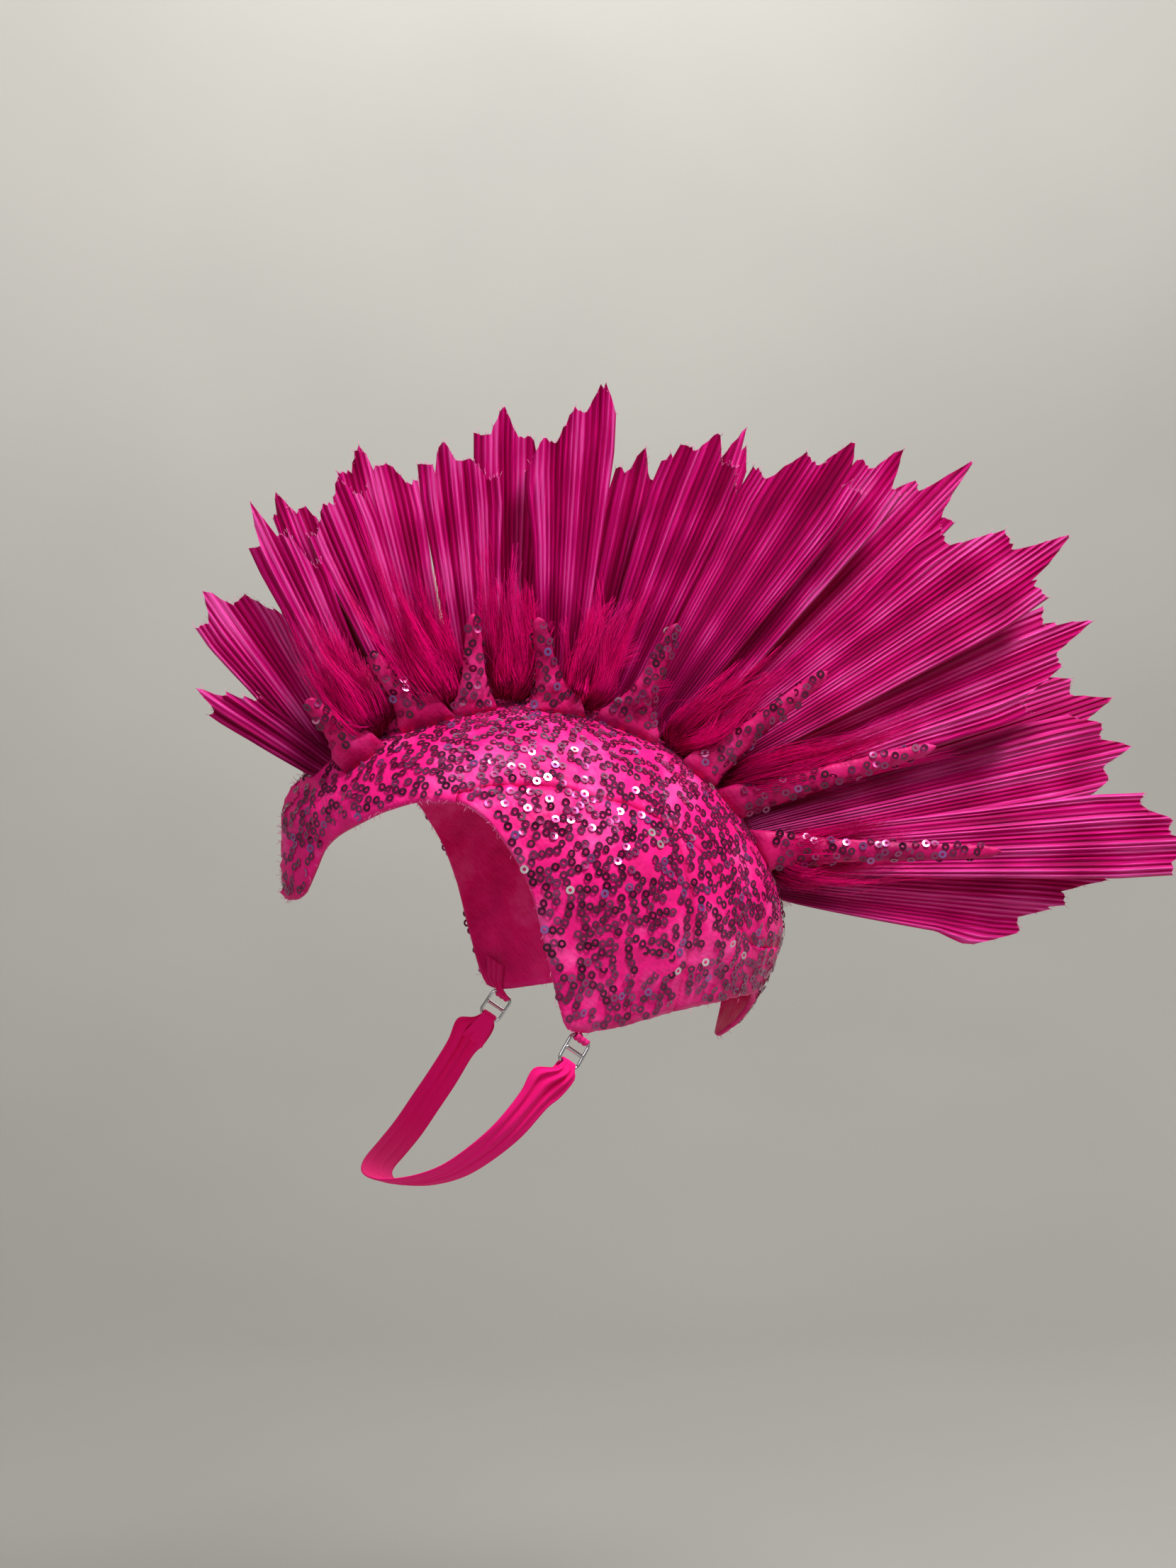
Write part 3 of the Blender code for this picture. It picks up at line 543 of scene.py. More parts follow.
def thread_path(start, way, size, bend, shares):
    """Bent loose thread: its points at shares of its length."""
    return [tuple(start + way * (size * s) + bend * (s * s)) for s in shares]


def many_tubes(paths, radii, sides=3):
    """Vertices and faces of many tapering tubes; paths is fibres x points x 3."""
    paths = np.asarray(paths, dtype=float)
    count, steps, _ = paths.shape
    along = np.gradient(paths, axis=1)
    along /= np.linalg.norm(along, axis=2, keepdims=True) + 1e-9
    ref = np.where(np.abs(along[..., :1]) < 0.8, [[[1.0, 0, 0]]], [[[0, 0, 1.0]]])
    u = np.cross(along, ref)
    u /= np.linalg.norm(u, axis=2, keepdims=True) + 1e-9
    v = np.cross(along, u)
    rings = []
    for k in range(sides):
        ang = 2 * math.pi * k / sides
        rings.append(paths + (u * math.cos(ang) + v * math.sin(ang)) * radii[..., None])
    verts = np.stack(rings, axis=2).reshape(-1, 3)
    base = (np.arange(count) * steps * sides)[:, None, None]
    ring = (np.arange(steps - 1) * sides)[None, :, None]
    k = np.arange(sides)[None, None, :]
    k2 = (k + 1) % sides
    a = base + ring + k
    b = base + ring + k2
    quads = np.stack([a, b, b + sides, a + sides], axis=-1).reshape(-1, 4)
    faces = quads.tolist()
    last = (steps - 1) * sides
    for i in range(count):
        start = i * steps * sides
        faces.append(tuple(start + j for j in range(sides - 1, -1, -1)))
        faces.append(tuple(start + last + j for j in range(sides)))
    return verts, faces


# Materials

def linear(colour):
    """sRGB hex or a property's colour to linear RGBA."""
    if not isinstance(colour, str):
        return (colour[0], colour[1], colour[2], 1.0)
    out = []
    for i in (0, 2, 4):
        v = int(colour[i:i + 2], 16) / 255.0
        out.append(v / 12.92 if v <= 0.04045 else ((v + 0.055) / 1.055) ** 2.4)
    return (out[0], out[1], out[2], 1.0)


def node(tree, kind, settings=None, links=None):
    """Add one node, set its properties and sockets, and link its inputs."""
    new = tree.nodes.new(kind)
    for key, value in (settings or {}).items():
        if isinstance(key, str) and hasattr(new, key) and key not in new.inputs:
            setattr(new, key, value)
        else:
            new.inputs[key].default_value = value
    for key, source in (links or {}).items():
        tree.links.new(source, new.inputs[key])
    return new


def ramp_stops(ramp, stops):
    """Set the colours of a ramp node."""
    while len(ramp.color_ramp.elements) < len(stops):
        ramp.color_ramp.elements.new(0.5)
    for element, (place, colour) in zip(ramp.color_ramp.elements, stops):
        element.position = place
        element.color = linear(colour)


def new_material(name, **settings):
    """Material with a Principled surface; settings are its plain socket values, in small letters."""
    mat = bpy.data.materials.new(name)
    mat.use_nodes = True
    tree = mat.node_tree
    shader = tree.nodes["Principled BSDF"]
    for key, value in settings.items():
        shader.inputs[key.replace("_", " ").title().replace("Ior", "IOR")].default_value = value
    return mat, tree, shader


def woven_satin_cloth(name, main, light, deep):
    """Piece-dyed polyester satin: long floats give a soft broad sheen over a fine diagonal weave."""
    mat, tree, shader = new_material(name, roughness=0.46, sheen_weight=0.08, sheen_roughness=0.4,
                                     specular_ior_level=0.4, specular_tint=linear("FF9CD0"),
                                     sheen_tint=linear(light))
    where = node(tree, "ShaderNodeTexCoord")
    drift = node(tree, "ShaderNodeTexNoise", {"Scale": 38.0, "Detail": 4.0, "Roughness": 0.6},
                 {"Vector": where.outputs["Object"]})
    ramp = node(tree, "ShaderNodeValToRGB", None, {"Fac": drift.outputs["Fac"]})
    ramp_stops(ramp, ((0.30, deep), (0.52, main), (0.78, light)))
    # thread pitch is 0.25 mm; drawn at 1.6 mm or more so that it shows in the render
    warp = node(tree, "ShaderNodeTexWave", {"Scale": 225.0, "Distortion": 1.2, "Detail": 1.0,
                                            "Detail Scale": 2.0, "bands_direction": "DIAGONAL"},
                {"Vector": where.outputs["Object"]})
    crumple = node(tree, "ShaderNodeTexNoise", {"Scale": 160.0, "Detail": 5.0},
                   {"Vector": where.outputs["Object"]})
    fine = node(tree, "ShaderNodeBump", {"Strength": 0.1, "Distance": 0.00025},
                {"Height": warp.outputs["Fac"]})
    bump = node(tree, "ShaderNodeBump", {"Strength": 0.75, "Distance": 0.0014},
                {"Height": crumple.outputs["Fac"], "Normal": fine.outputs["Normal"]})
    tree.links.new(ramp.outputs["Color"], shader.inputs["Base Color"])
    tree.links.new(bump.outputs["Normal"], shader.inputs["Normal"])
    return mat


def stamped_foil_sequin():
    """Vacuum-metallised polyester cups: dark maroon mirrors with a violet edge; the few pale ones are
    painted glints.
    """
    mat, tree, shader = new_material("stamped_foil_sequin", metallic=0.8, roughness=0.22,
                                     coat_weight=0.6, coat_roughness=0.06)
    tint = node(tree, "ShaderNodeAttribute", {"attribute_name": "tint"})
    ramp = node(tree, "ShaderNodeValToRGB", None, {"Fac": tint.outputs["Fac"]})
    # tint 1.0 is the pale colour of the painted-glint sequins
    ramp_stops(ramp, ((0.0, "3C0628"), (0.35, "661040"), (0.64, "8A2E64"), (0.88, "A84E88"),
                      (0.95, "9A74CC"), (1.0, "FFF0F8")))
    edge = node(tree, "ShaderNodeLayerWeight", {"Blend": 0.3})
    mix = node(tree, "ShaderNodeMix", {"data_type": "RGBA"}, {"Factor": edge.outputs["Facing"]})
    tree.links.new(ramp.outputs["Color"], mix.inputs["A"])
    mix.inputs["B"].default_value = linear("A0588C")
    tree.links.new(mix.outputs["Result"], shader.inputs["Base Color"])
    return mat


def heat_set_pleats():
    """Heat-set pleated voile: deep magenta, fine filaments along the pleats, light glows through."""
    mat, tree, shader = new_material("heat_set_pleats", roughness=0.42, sheen_weight=0.03,
                                     sheen_roughness=0.3, specular_ior_level=0.5,
                                     specular_tint=linear("FF4CB4"), sheen_tint=linear("FF70C8"),
                                     subsurface_weight=0.35, subsurface_radius=(1.0, 0.12, 0.5),
                                     subsurface_scale=0.0015)
    place = node(tree, "ShaderNodeUVMap", {"uv_map": "UVMap"})
    # filaments 0.05 mm apart; drawn at 0.5 mm across and long along the pleat
    stretch = node(tree, "ShaderNodeMapping", {"Scale": (2.0, 0.05, 1.0)},
                   {"Vector": place.outputs["UV"]})
    fibre = node(tree, "ShaderNodeTexNoise", {"Scale": 1.0, "Detail": 4.0},
                 {"Vector": stretch.outputs["Vector"]})
    # the fold value paints shade and light: deep in shaded valleys and recessed blades, a pale pink
    # painted highlight at its top end
    fold = node(tree, "ShaderNodeAttribute", {"attribute_name": "fold"})
    ramp = node(tree, "ShaderNodeValToRGB", None, {"Fac": fold.outputs["Fac"]})
    ramp_stops(ramp, ((0.0, "700030"), (0.36, "A80052"), (0.7, "D40C7C"), (1.0, "F85CB6")))
    streak = node(tree, "ShaderNodeValToRGB", None, {"Fac": fibre.outputs["Fac"]})
    ramp_stops(streak, ((0.32, "B4B4B4"), (0.68, "FFFFFF")))
    # painted shade towards the bound root: darkest up to 5 mm from it and plain from 55 mm on
    split = node(tree, "ShaderNodeSeparateXYZ", None, {"Vector": place.outputs["UV"]})
    root_shade = node(tree, "ShaderNodeMapRange", {"From Min": 5.0, "From Max": 55.0, "To Min": 0.42},
                {"Value": split.outputs["Y"]})
    dark = node(tree, "ShaderNodeVectorMath", {"operation": "SCALE"},
                {"Vector": streak.outputs["Color"], "Scale": root_shade.outputs["Result"]})
    mix = node(tree, "ShaderNodeMix", {"data_type": "RGBA", "blend_type": "MULTIPLY"})
    mix.inputs["Factor"].default_value = 1.0
    tree.links.new(ramp.outputs["Color"], mix.inputs["A"])
    tree.links.new(dark.outputs["Vector"], mix.inputs["B"])
    bump = node(tree, "ShaderNodeBump", {"Strength": 0.35, "Distance": 0.0003},
                {"Height": fibre.outputs["Fac"]})
    tree.links.new(mix.outputs["Result"], shader.inputs["Base Color"])
    tree.links.new(bump.outputs["Normal"], shader.inputs["Normal"])
    return mat


def frayed_filament():
    """Loose cut filaments: bare polyester ends, paler than the dyed cloth face."""
    return new_material("frayed_filament", roughness=0.5, base_color=linear("F07CB8"))[0]


def dyed_marabou():
    """Dyed down fibres: silky and matt at once; along each fibre, painted shade deep at the root, a
    painted highlight on the swelling lower part, paler again at the thin ends.
    """
    mat, tree, shader = new_material("dyed_marabou", roughness=0.55, sheen_weight=0.06,
                                     sheen_tint=linear("FF2C90"), specular_ior_level=0.3,
                                     specular_tint=linear("FF3C9C"))
    along = node(tree, "ShaderNodeAttribute", {"attribute_name": "along"})
    ramp = node(tree, "ShaderNodeValToRGB", None, {"Fac": along.outputs["Fac"]})
    # painted shade at the root and a painted highlight where the tuft swells
    ramp_stops(ramp, ((0.0, "7C0038"), (0.2, "C0005C"), (0.42, "E80070"), (0.7, "C00058"),
                      (1.0, "DC1078")))
    tree.links.new(ramp.outputs["Color"], shader.inputs["Base Color"])
    return mat


def knitted_jersey(props):
    """Stretch jersey: fine knit wales, matt, with a faint fuzz that softens its edge."""
    mat, tree, shader = new_material("knitted_jersey", roughness=0.8, sheen_weight=0.14,
                                     sheen_roughness=0.6, specular_tint=linear("FF70B4"),
                                     base_color=linear(props.strap_colour),
                                     sheen_tint=linear("FF5CA8"))
    place = node(tree, "ShaderNodeUVMap", {"uv_map": "UVMap"})
    # wales 0.4 mm apart; drawn at 0.8 mm
    rib = node(tree, "ShaderNodeTexWave", {"Scale": 0.4, "Distortion": 0.6, "bands_direction": "X"},
               {"Vector": place.outputs["UV"]})
    bump = node(tree, "ShaderNodeBump", {"Strength": 0.25, "Distance": 0.0002},
                {"Height": rib.outputs["Fac"]})
    tree.links.new(bump.outputs["Normal"], shader.inputs["Normal"])
    return mat


def plated_wire():
    """Nickel-chrome plated steel wire: bright mirror with faint handling marks."""
    mat, tree, shader = new_material("plated_wire", metallic=1.0, roughness=0.14,
                                     base_color=linear("C9C9CE"))
    where = node(tree, "ShaderNodeTexCoord")
    marks = node(tree, "ShaderNodeTexNoise", {"Scale": 150.0, "Detail": 2.0},
                 {"Vector": where.outputs["Object"]})
    rough = node(tree, "ShaderNodeMapRange", {"To Min": 0.08, "To Max": 0.16},
                 {"Value": marks.outputs["Fac"]})
    tree.links.new(rough.outputs["Result"], shader.inputs["Roughness"])
    return mat


def seamless_paper():
    """Pale matt backdrop paper."""
    mat, tree, shader = new_material("seamless_paper", roughness=0.9)
    where = node(tree, "ShaderNodeTexCoord")
    mottle = node(tree, "ShaderNodeTexNoise", {"Scale": 2.0, "Detail": 2.0},
                  {"Vector": where.outputs["Object"]})
    ramp = node(tree, "ShaderNodeValToRGB", None, {"Fac": mottle.outputs["Fac"]})
    ramp_stops(ramp, ((0.3, "A8A6A0"), (0.7, "AEABA5")))
    tree.links.new(ramp.outputs["Color"], shader.inputs["Base Color"])
    return mat


def dyed_satin(props):
    """Satin of the cap and tabs, in the colour that the user sets."""
    return woven_satin_cloth("dyed_satin", tuple(props.satin_colour), "FF5CB0", "CC1268")


def stitched_satin():
    """The same satin on the spikes, drawn tight over padding; a darker copy of the cap satin that
    paints the shade the spikes sit in.
    """
    # colours deeper than the cap satin's: painted shade
    return woven_satin_cloth("stitched_satin", "C20C5E", "E83C94", "8E0848")


def shared(maker, *args):
    """The material that a maker is named for, made when first asked for."""
    found = bpy.data.materials.get(maker.__name__)
    return found if found else maker(*args)


# Pieces

def roll_in(distance, reach=ROLL_REACH, depth=ROLL_DEPTH):
    """How far cloth rolls in near a sewn or folded edge."""
    if distance >= reach:
        return 0.0
    t = 1.0 - distance / reach
    return depth * t * t


def cloth_point(azimuth, z, to_top, to_low, to_end):
    """Point and normal of the dressed outer face, with crumples and rolled edges."""
    p = on_cap(azimuth, z)
    n = cap_normal(azimuth, z)
    lift = sum(noise.noise(p * scale + Vector(shift)) * height for scale, shift, height in CRUMPLES)
    # stitches pucker the cloth along the seams
    drawn = math.exp(-min(to_top, to_low) / PUCKER_REACH)
    pucker = drawn * noise.noise(Vector((p.x * 0.3, p.y * 0.3, p.z * 0.08))) * PUCKER_HEIGHT
    # loose folds on the front peak, and the seam across it
    turn = abs((azimuth + 180.0) % 360.0 - 180.0)
    peak = math.exp(-(turn / 10.0) ** 2) * min(1.0, max(0.0, -z - 20.0) / 15.0)
    pucker += peak * noise.noise(Vector((p.x * 0.12, p.y * 0.25, p.z * 0.38))) * PEAK_FOLDS
    if turn < 14.0 and z < PEAK_SEAM + 6.0:
        pucker -= roll_in(abs(z - PEAK_SEAM), 1.5, 0.9)
    # cloth gathers towards the tab at the cheek tip
    cheek = math.exp(-((turn - 94.0) / 6.0) ** 2 - max(0.0, z - rim_z(turn)) / 7.0)
    pucker += cheek * math.sin(turn * 2.4 + z * 0.2) * CHEEK_FOLDS
    lift = lift + pucker - roll_in(to_top) - roll_in(to_low) - roll_in(to_end)
    return p + n * lift, n


def build_panel(name, columns, tops, lows, rows, ends, props, node_name):
    """Dressed cap panel that stands for one cloth solid."""
    front, back = [], []
    for azimuth, top, low in zip(columns, tops, lows):
        reach = CAP_HALF * math.radians(min(abs(azimuth - e) for e in ends))
        drop = top - low
        for j in range(rows + 1):
            t = j / rows
            z = top - drop * t
            p, n = cloth_point(azimuth, z, t * drop, (1 - t) * drop, reach)
            front.append(p)
            back.append(on_cap(azimuth, z) - n * LINING)
    faces = two_sided(len(columns), rows + 1)
    obj = add_mesh(name, front + back, faces, shared(dyed_satin, props), (node_name,))
    face_out(obj)


def fine_columns(start, stop, step=PANEL_STEP):
    """Even azimuths from start to stop, about a step apart."""
    count = max(2, int(round((stop - start) / step)))
    return [start + (stop - start) * k / count for k in range(count + 1)]


def build_crown(props):
    """Dressed crown panel with the raised ridge seam at the centre front."""
    half = fine_columns(0.0, SIDE_FROM - 0.3, CROWN_STEPS[0])
    half += fine_columns(SIDE_FROM, 180.0, CROWN_STEPS[1])
    columns = half + [360.0 - a for a in reversed(half[1:-1])]
    rows = CROWN_ROWS
    front, back = [], []
    for azimuth in columns:
        near = azimuth if azimuth <= 180.0 else azimuth - 360.0
        low = rim_z(near) if abs(near) < SIDE_FROM - 0.15 else seam_z(near)
        for j in range(1, rows + 1):
            z = WALL - (WALL - low) * (1.0 - math.cos(0.5 * math.pi * j / rows))
            edge = (z - low) * (1.0 + 0.6 * (j / rows < 0.5))
            p, n = cloth_point(azimuth, z, NO_EDGE, edge, NO_EDGE)
            # raised seam along the centre front
            ridge = 0.0
            if abs(near) < RIDGE_HALF and z < RIDGE_FROM:
                ridge = math.exp(-(near / RIDGE_SOFT) ** 2) * (1.0 + 0.8 * noise.noise(p * 0.5))
            front.append(p + n * ridge)
            back.append(on_cap(azimuth, z) - n * LINING)
    n = len(front)
    points = front + back + [Vector((0, 0, WALL)), Vector((0, 0, WALL - LINING))]
    faces = []
    count = len(columns)
    for i in range(count):
        a = i * rows
        b = ((i + 1) % count) * rows
        faces.append((2 * n, a, b))
        faces.append((2 * n + 1, n + b, n + a))
        for j in range(rows - 1):
            faces.append((a + j, a + j + 1, b + j + 1, b + j))
            faces.append((n + a + j, n + b + j, n + b + j + 1, n + a + j + 1))
        e = rows - 1
        faces.append((a + e, n + a + e, n + b + e, b + e))
    obj = add_mesh("cap_crown_cloth", points, faces, shared(dyed_satin, props),
                   ("cap_crown",))
    # cut as one piece: side seam to side seam over the top, and front edge to back seam
    face_out(obj)


class Spots:
    """Places already taken, for keeping sequins apart."""

    def __init__(self):
        self.cells = {}

    def key(self, p):
        """Cell that a place is in."""
        return tuple(int(value // SPOT_CELL) for value in p)

    def free(self, p, gap, skip=None):
        """Whether no taken place but skip is nearer than the gap."""
        kx, ky, kz = self.key(p)
        for dx in (-1, 0, 1):
            for dy in (-1, 0, 1):
                for dz in (-1, 0, 1):
                    for q in self.cells.get((kx + dx, ky + dy, kz + dz), ()):
                        if q is not skip and (q - p).length < gap:
                            return False
        return True

    def add(self, p):
        """Take a place."""
        self.cells.setdefault(self.key(p), []).append(p)


def panel_of(p):
    """Name of the cap panel that a point lies on, or None near an edge or under the crest."""
    azimuth = math.degrees(math.atan2(p.x, -p.y))
    a = abs(azimuth)
    if p.z < rim_z(a) + RIM_MARGIN:
        return None
    under_crest = abs(p.x) < CREST_HALF and p.z > CREST_LOW
    on_brow = a < BROW_HALF and p.z < BROW_TOP
    if under_crest and not on_brow:
        return None
    if a < SIDE_FROM or p.z > seam_z(a) + SEAM_MARGIN:
        return "crown"
    if p.z > seam_z(a) - SEAM_MARGIN or abs(a - SIDE_TO) < 1.0:
        return None
    if a > SIDE_TO:
        return "nape"
    return "side_left" if azimuth > 0 else "side_right"


def scatter_sequins(props):
    """Wandering sewn chains of sequins over the cap: lists of (place, out) per panel."""
    rng = random.Random(SEED)
    spots = Spots()
    step = props.sequin_step * 1000.0
    out = {"crown": [], "side_left": [], "side_right": [], "nape": []}
    misses = 0
    while misses < MISSES_ALLOWED:
        azimuth = rng.uniform(-180.0, 180.0)
        z = WALL - (WALL - rim_z(azimuth)) * rng.random()
        p = on_cap(azimuth, z)
        panel = panel_of(p)
        if panel is None or not spots.free(p, step * NEW_CHAIN_GAP):
            misses += 1
            continue
        heading = rng.uniform(0, 2 * math.pi)
        last = None
        for _ in range(rng.randint(*CHAIN)):
            _, n = cap_field(p)
            spots.add(p)
            out[panel].append((p, n))
            last = p
            found = False
            for attempt in range(CHAIN_TRIES):
                turn = heading + rng.gauss(0.0, CHAIN_TURN[0] + CHAIN_TURN[1] * attempt)
                u = Vector((0, 0, 1)).cross(n)
                u = u.normalized() if u.length > 0.1 else Vector((1, 0, 0))
                v = n.cross(u)
                q = p + (u * math.cos(turn) + v * math.sin(turn)) * step
                d, m = cap_field(q)
                q = q - m * d
                if panel_of(q) and spots.free(q, step * SIDE_GAP, last):
                    if (q - last).length > step * NEXT_GAP:
                        found = True
                        break
            if not found:
                break
            heading = turn
            p = q
            panel = panel_of(p)
    return out


def sequin_mesh(places, props, rng, lean):
    """Ring-shaped cups: vertices, faces and a tint for each vertex."""
    # radius in millimetres of the property's diameter in metres
    size = props.sequin_size * 500.0
    hole = props.sequin_hole * size
    # radius, height: raised outer lip, edge of the hole, underside of the sloping cup
    section = ((size, 0.17), (hole, 0.12), (size * 0.75, 0.02))
    sides = SEQUIN_SIDES
    verts, faces, tints = [], [], []
    for p, n in places:
        ref = any_way(rng)
        w = (n + any_way(rng) * math.radians(lean)).normalized()
        u = w.cross(ref).normalized()
        v = w.cross(u)
        centre = p + n * SEQUIN_LIFT
        draw = rng.random()
        tint = draw * 0.9 if draw < MAROON_SHARE else 0.9 + (draw - MAROON_SHARE)
        # the last draws are pale: painted glints
        if draw > WHITE_FROM:
            tint = 1.0
        base = len(verts)
        for k in range(sides):
            ang = 2 * math.pi * k / sides
            ray = u * math.cos(ang) + v * math.sin(ang)
            for r, h in section:
                verts.append(centre + ray * r + w * h)
                tints.append(tint)
        m = len(section)
        for k in range(sides):
            a = base + k * m
            b = base + ((k + 1) % sides) * m
            for j in range(m):
                j2 = (j + 1) % m
                faces.append((a + j, b + j, b + j2, a + j2))
    return verts, faces, tints


def coarse_cut(row, u):
    """Saw cut of a blade's end in millimetres at a place across it, as in the solids."""
    tooth, peak = row[5], row[6]
    lead = round((peak + 0.5) * BLADE_RIDGES)

    def at(j):
        notch = 0.0 if j % 2 == lead % 2 else CUT_NOTCH
        return tooth * BLADE_REACH * (abs(j - lead) / BLADE_RIDGES * CUT_FALL + notch)
    x = (u + 0.5) * BLADE_RIDGES
    j = min(BLADE_RIDGES - 1, max(0, int(x)))
    return at(j) + (at(j + 1) - at(j)) * (x - j)


def pleat_marks(rng, cols):
    """Uneven places, pinked heights, tears and strengths of a blade's folds."""
    places = [0.0]
    for _ in range(cols - 1):
        places.append(places[-1] + rng.uniform(0.7, 1.3))
    places = [p / places[-1] - 0.5 for p in places]
    jag = [rng.uniform(0.0, 1.0) for _ in range(cols)]
    # one fold of each blade is torn further down
    split = [0.0] * cols
    split[rng.randrange(2, cols - 2)] = rng.uniform(3.0, 7.0)
    return places, jag, split, [rng.uniform(0.65, 1.25) for _ in range(cols)]


def build_blade(index, row, props):
    """Finely pleated blade with pinked teeth and a tear; returns the tips of its pleats."""
    rng = random.Random(SEED + 31 * index)
    wide, _, peak, side, layer = row[4:]
    foot, point, _, beside, _ = crest_run(*row[:4])
    tip = point - beside * (peak * wide * BLADE_REACH)
    length = (tip - foot).length
    along = (tip - foot).normalized()
    across = Vector((0.0, -along.z, along.y))
    pleats = max(6, int(round(wide * BLADE_REACH / (props.pleat_pitch * 1000.0))))
    cols = 2 * pleats + 1
    rows = BLADE_ROWS
    places, jag, split, strength = pleat_marks(rng, cols)
    bend = rng.uniform(-1.0, 1.0)
    wave = rng.uniform(0, 6.28)
    broad = rng.uniform(2.0, 4.0) * 2.0 * math.pi
    front, back, fold, uvs = [], [], [], []
    for k in range(rows + 1):
        t = (k / rows) ** 0.92
        opened = min(1.0, t / BLADE_FULL) ** BLADE_SWELL
        width = BLADE_FOOT + (wide * BLADE_REACH - BLADE_FOOT) * opened
        pitch = width / pleats
        depth = min(DEEPEST_FOLD, 0.5 * pitch) * (0.55 + 0.45 * t)
        for j in range(cols):
            u = places[j]
            cut = coarse_cut(row, u) + PINK_HEIGHT * (jag[j] - 0.5) + (PINK_STEP if j % 2 else 0.0)
            late = max(0.0, t - 0.5) * 2.0
            reach = t * length - cut * late - split[j] * late ** 6
            squeeze = 1.0 + 0.02 * math.sin(5.0 * u + wave + 4.0 * t)
            flat = foot + along * reach + across * (u * width * squeeze)
            p = in_layer(layer, side, flat.y, flat.z)
            if k == 0:
                p = seat(p, along, ROOT_GAP)
            # fine pleats, broad waves, a twist and a bow of the whole blade
            x = depth * strength[j] * (0.5 if j % 2 else -0.5)
            x += BROAD_WAVE * math.sin(broad * u + wave) * t * (1.3 - 0.5 * t)
            x += side * BLADE_TWIST * bend * t * t * (0.4 + u)
            x += side * BLADE_BOW * (1.0 - 4.0 * u * u) * t * (1.2 - t)
            for sheet, shift in ((front, 0.5), (back, -0.5)):
                q = p.copy()
                q.x += x + shift * BLADE_CLOTH
                sheet.append(q)
            # painted shade and light in the fold value: the broad waves shaded along their slope, each
            # blade's painted shade offset and a little lighter towards the tip, plus random tone from
            # the noise
            shade_and_tone = 0.24 * math.cos(broad * u + wave) + 0.34 * noise.noise(flat * 0.05)
            shade_and_tone += BLADE_SHADE[index] + 0.1 * t
            # painted shade in the pleat valleys and painted light on the outward ridges; the inner
            # face below takes the opposite
            fold.append(0.5 + (0.4 if j % 2 else -0.4) * side * min(1.0, 0.6 * strength[j]) + shade_and_tone)
            uvs.append((u * width, reach))
    fold = [min(1.0, max(0.0, f)) for f in fold]
    back_fold = [1.0 - f for f in fold]
    faces = two_sided(rows + 1, cols)
    name = "fan_%02d" % (index + 1)
    obj = add_mesh(name + "_pleats", front + back, faces, shared(heat_set_pleats),
                   (name,), smooth=False, attrs={"fold": fold + back_fold}, uvs=uvs + uvs)
    face_out(obj)
    return [(p, along) for p in front[-cols:]]


def build_fray(tips):
    """Short loose filaments at the pinked ends of the blades."""
    rng = random.Random(SEED + 5)
    paths = []
    for p, along in tips:
        for _ in range(FRAY_PER_TIP):
            way = along + Vector((rng.gauss(0, 0.4), rng.gauss(0, 0.35), rng.gauss(0, 0.35)))
            size = rng.uniform(0.5, 1.7)
            start = p + Vector((0, rng.uniform(-0.5, 0.5), 0)) - along * 0.3
            bend = any_way(rng) * size * 0.2
            paths.append(thread_path(start, way, size, bend, (0.0, 0.5, 1.0)))
    radii = np.full((len(paths), 3), FRAY_RADIUS)
    verts, faces = many_tubes(np.array(paths), radii)
    add_mesh("fan_fray", verts, faces, shared(frayed_filament))


def spike_point(row, side, t, ang):
    """Point of a spike's skin; t runs from foot to tip, ang round it."""
    foot, _, along, across, length = crest_run(*row[:4])
    body = SPIKE_TIP + (SPIKE_BODY - SPIKE_TIP) * (1.0 - t)
    flare = (SPIKE_FOOT * row[4] - SPIKE_BODY) * max(0.0, 1.0 - t / SPIKE_FLARE) ** 2
    half = body + flare
    thick = 0.5 * SPIKE_TIP + (SPIKE_FOOT * SPIKE_FLAT - 0.5 * SPIKE_TIP) * (1.0 - t)
    close = math.sqrt(max(0.0, 1.0 - max(0.0, (t - SPIKE_CLOSES) / (1.0 - SPIKE_CLOSES)) ** 2))
    half *= 0.12 + 0.88 * close
    thick *= 0.15 + 0.85 * close
    s = math.sin(ang)
    flat = foot + along * (t * length) + across * (half * math.cos(ang))
    p = in_layer("spike", side, flat.y, flat.z)
    p.x += side * thick * math.copysign(abs(s) ** 1.25, s)
    dent = noise.noise(p * 0.22) * 0.6 + noise.noise(p * 0.55) * 0.35
    p += Vector((1, 0, 0)) * dent + across * (noise.noise(p * 0.4) * 0.5)
    return p


def build_spike(name, row, side):
    """Padded cloth skin of one spike, closed at its seated foot and sewn tip."""
    along = crest_run(*row[:4])[2]
    rows, sides = SPIKE_ROWS, SPIKE_SIDES
    points = []
    for k in range(rows + 1):
        t = (k / rows) ** 1.15
        for j in range(sides):
            p = spike_point(row, side, t, 2 * math.pi * j / sides)
            if k == 0:
                p = seat(p, along, ROOT_GAP)
            points.append(p)
    # keep the first rings above the seated foot
    for k in range(1, 5):
        for j in range(sides):
            i = k * sides + j
            gap = (points[i] - points[i - sides]).dot(along)
            if gap < RING_RISE:
                points[i] = points[i] + along * (RING_RISE - gap)
    skin = add_mesh(name + "_skin", points, tube_faces(rows + 1, sides), shared(stitched_satin),
                    (name,))
    face_out(skin)


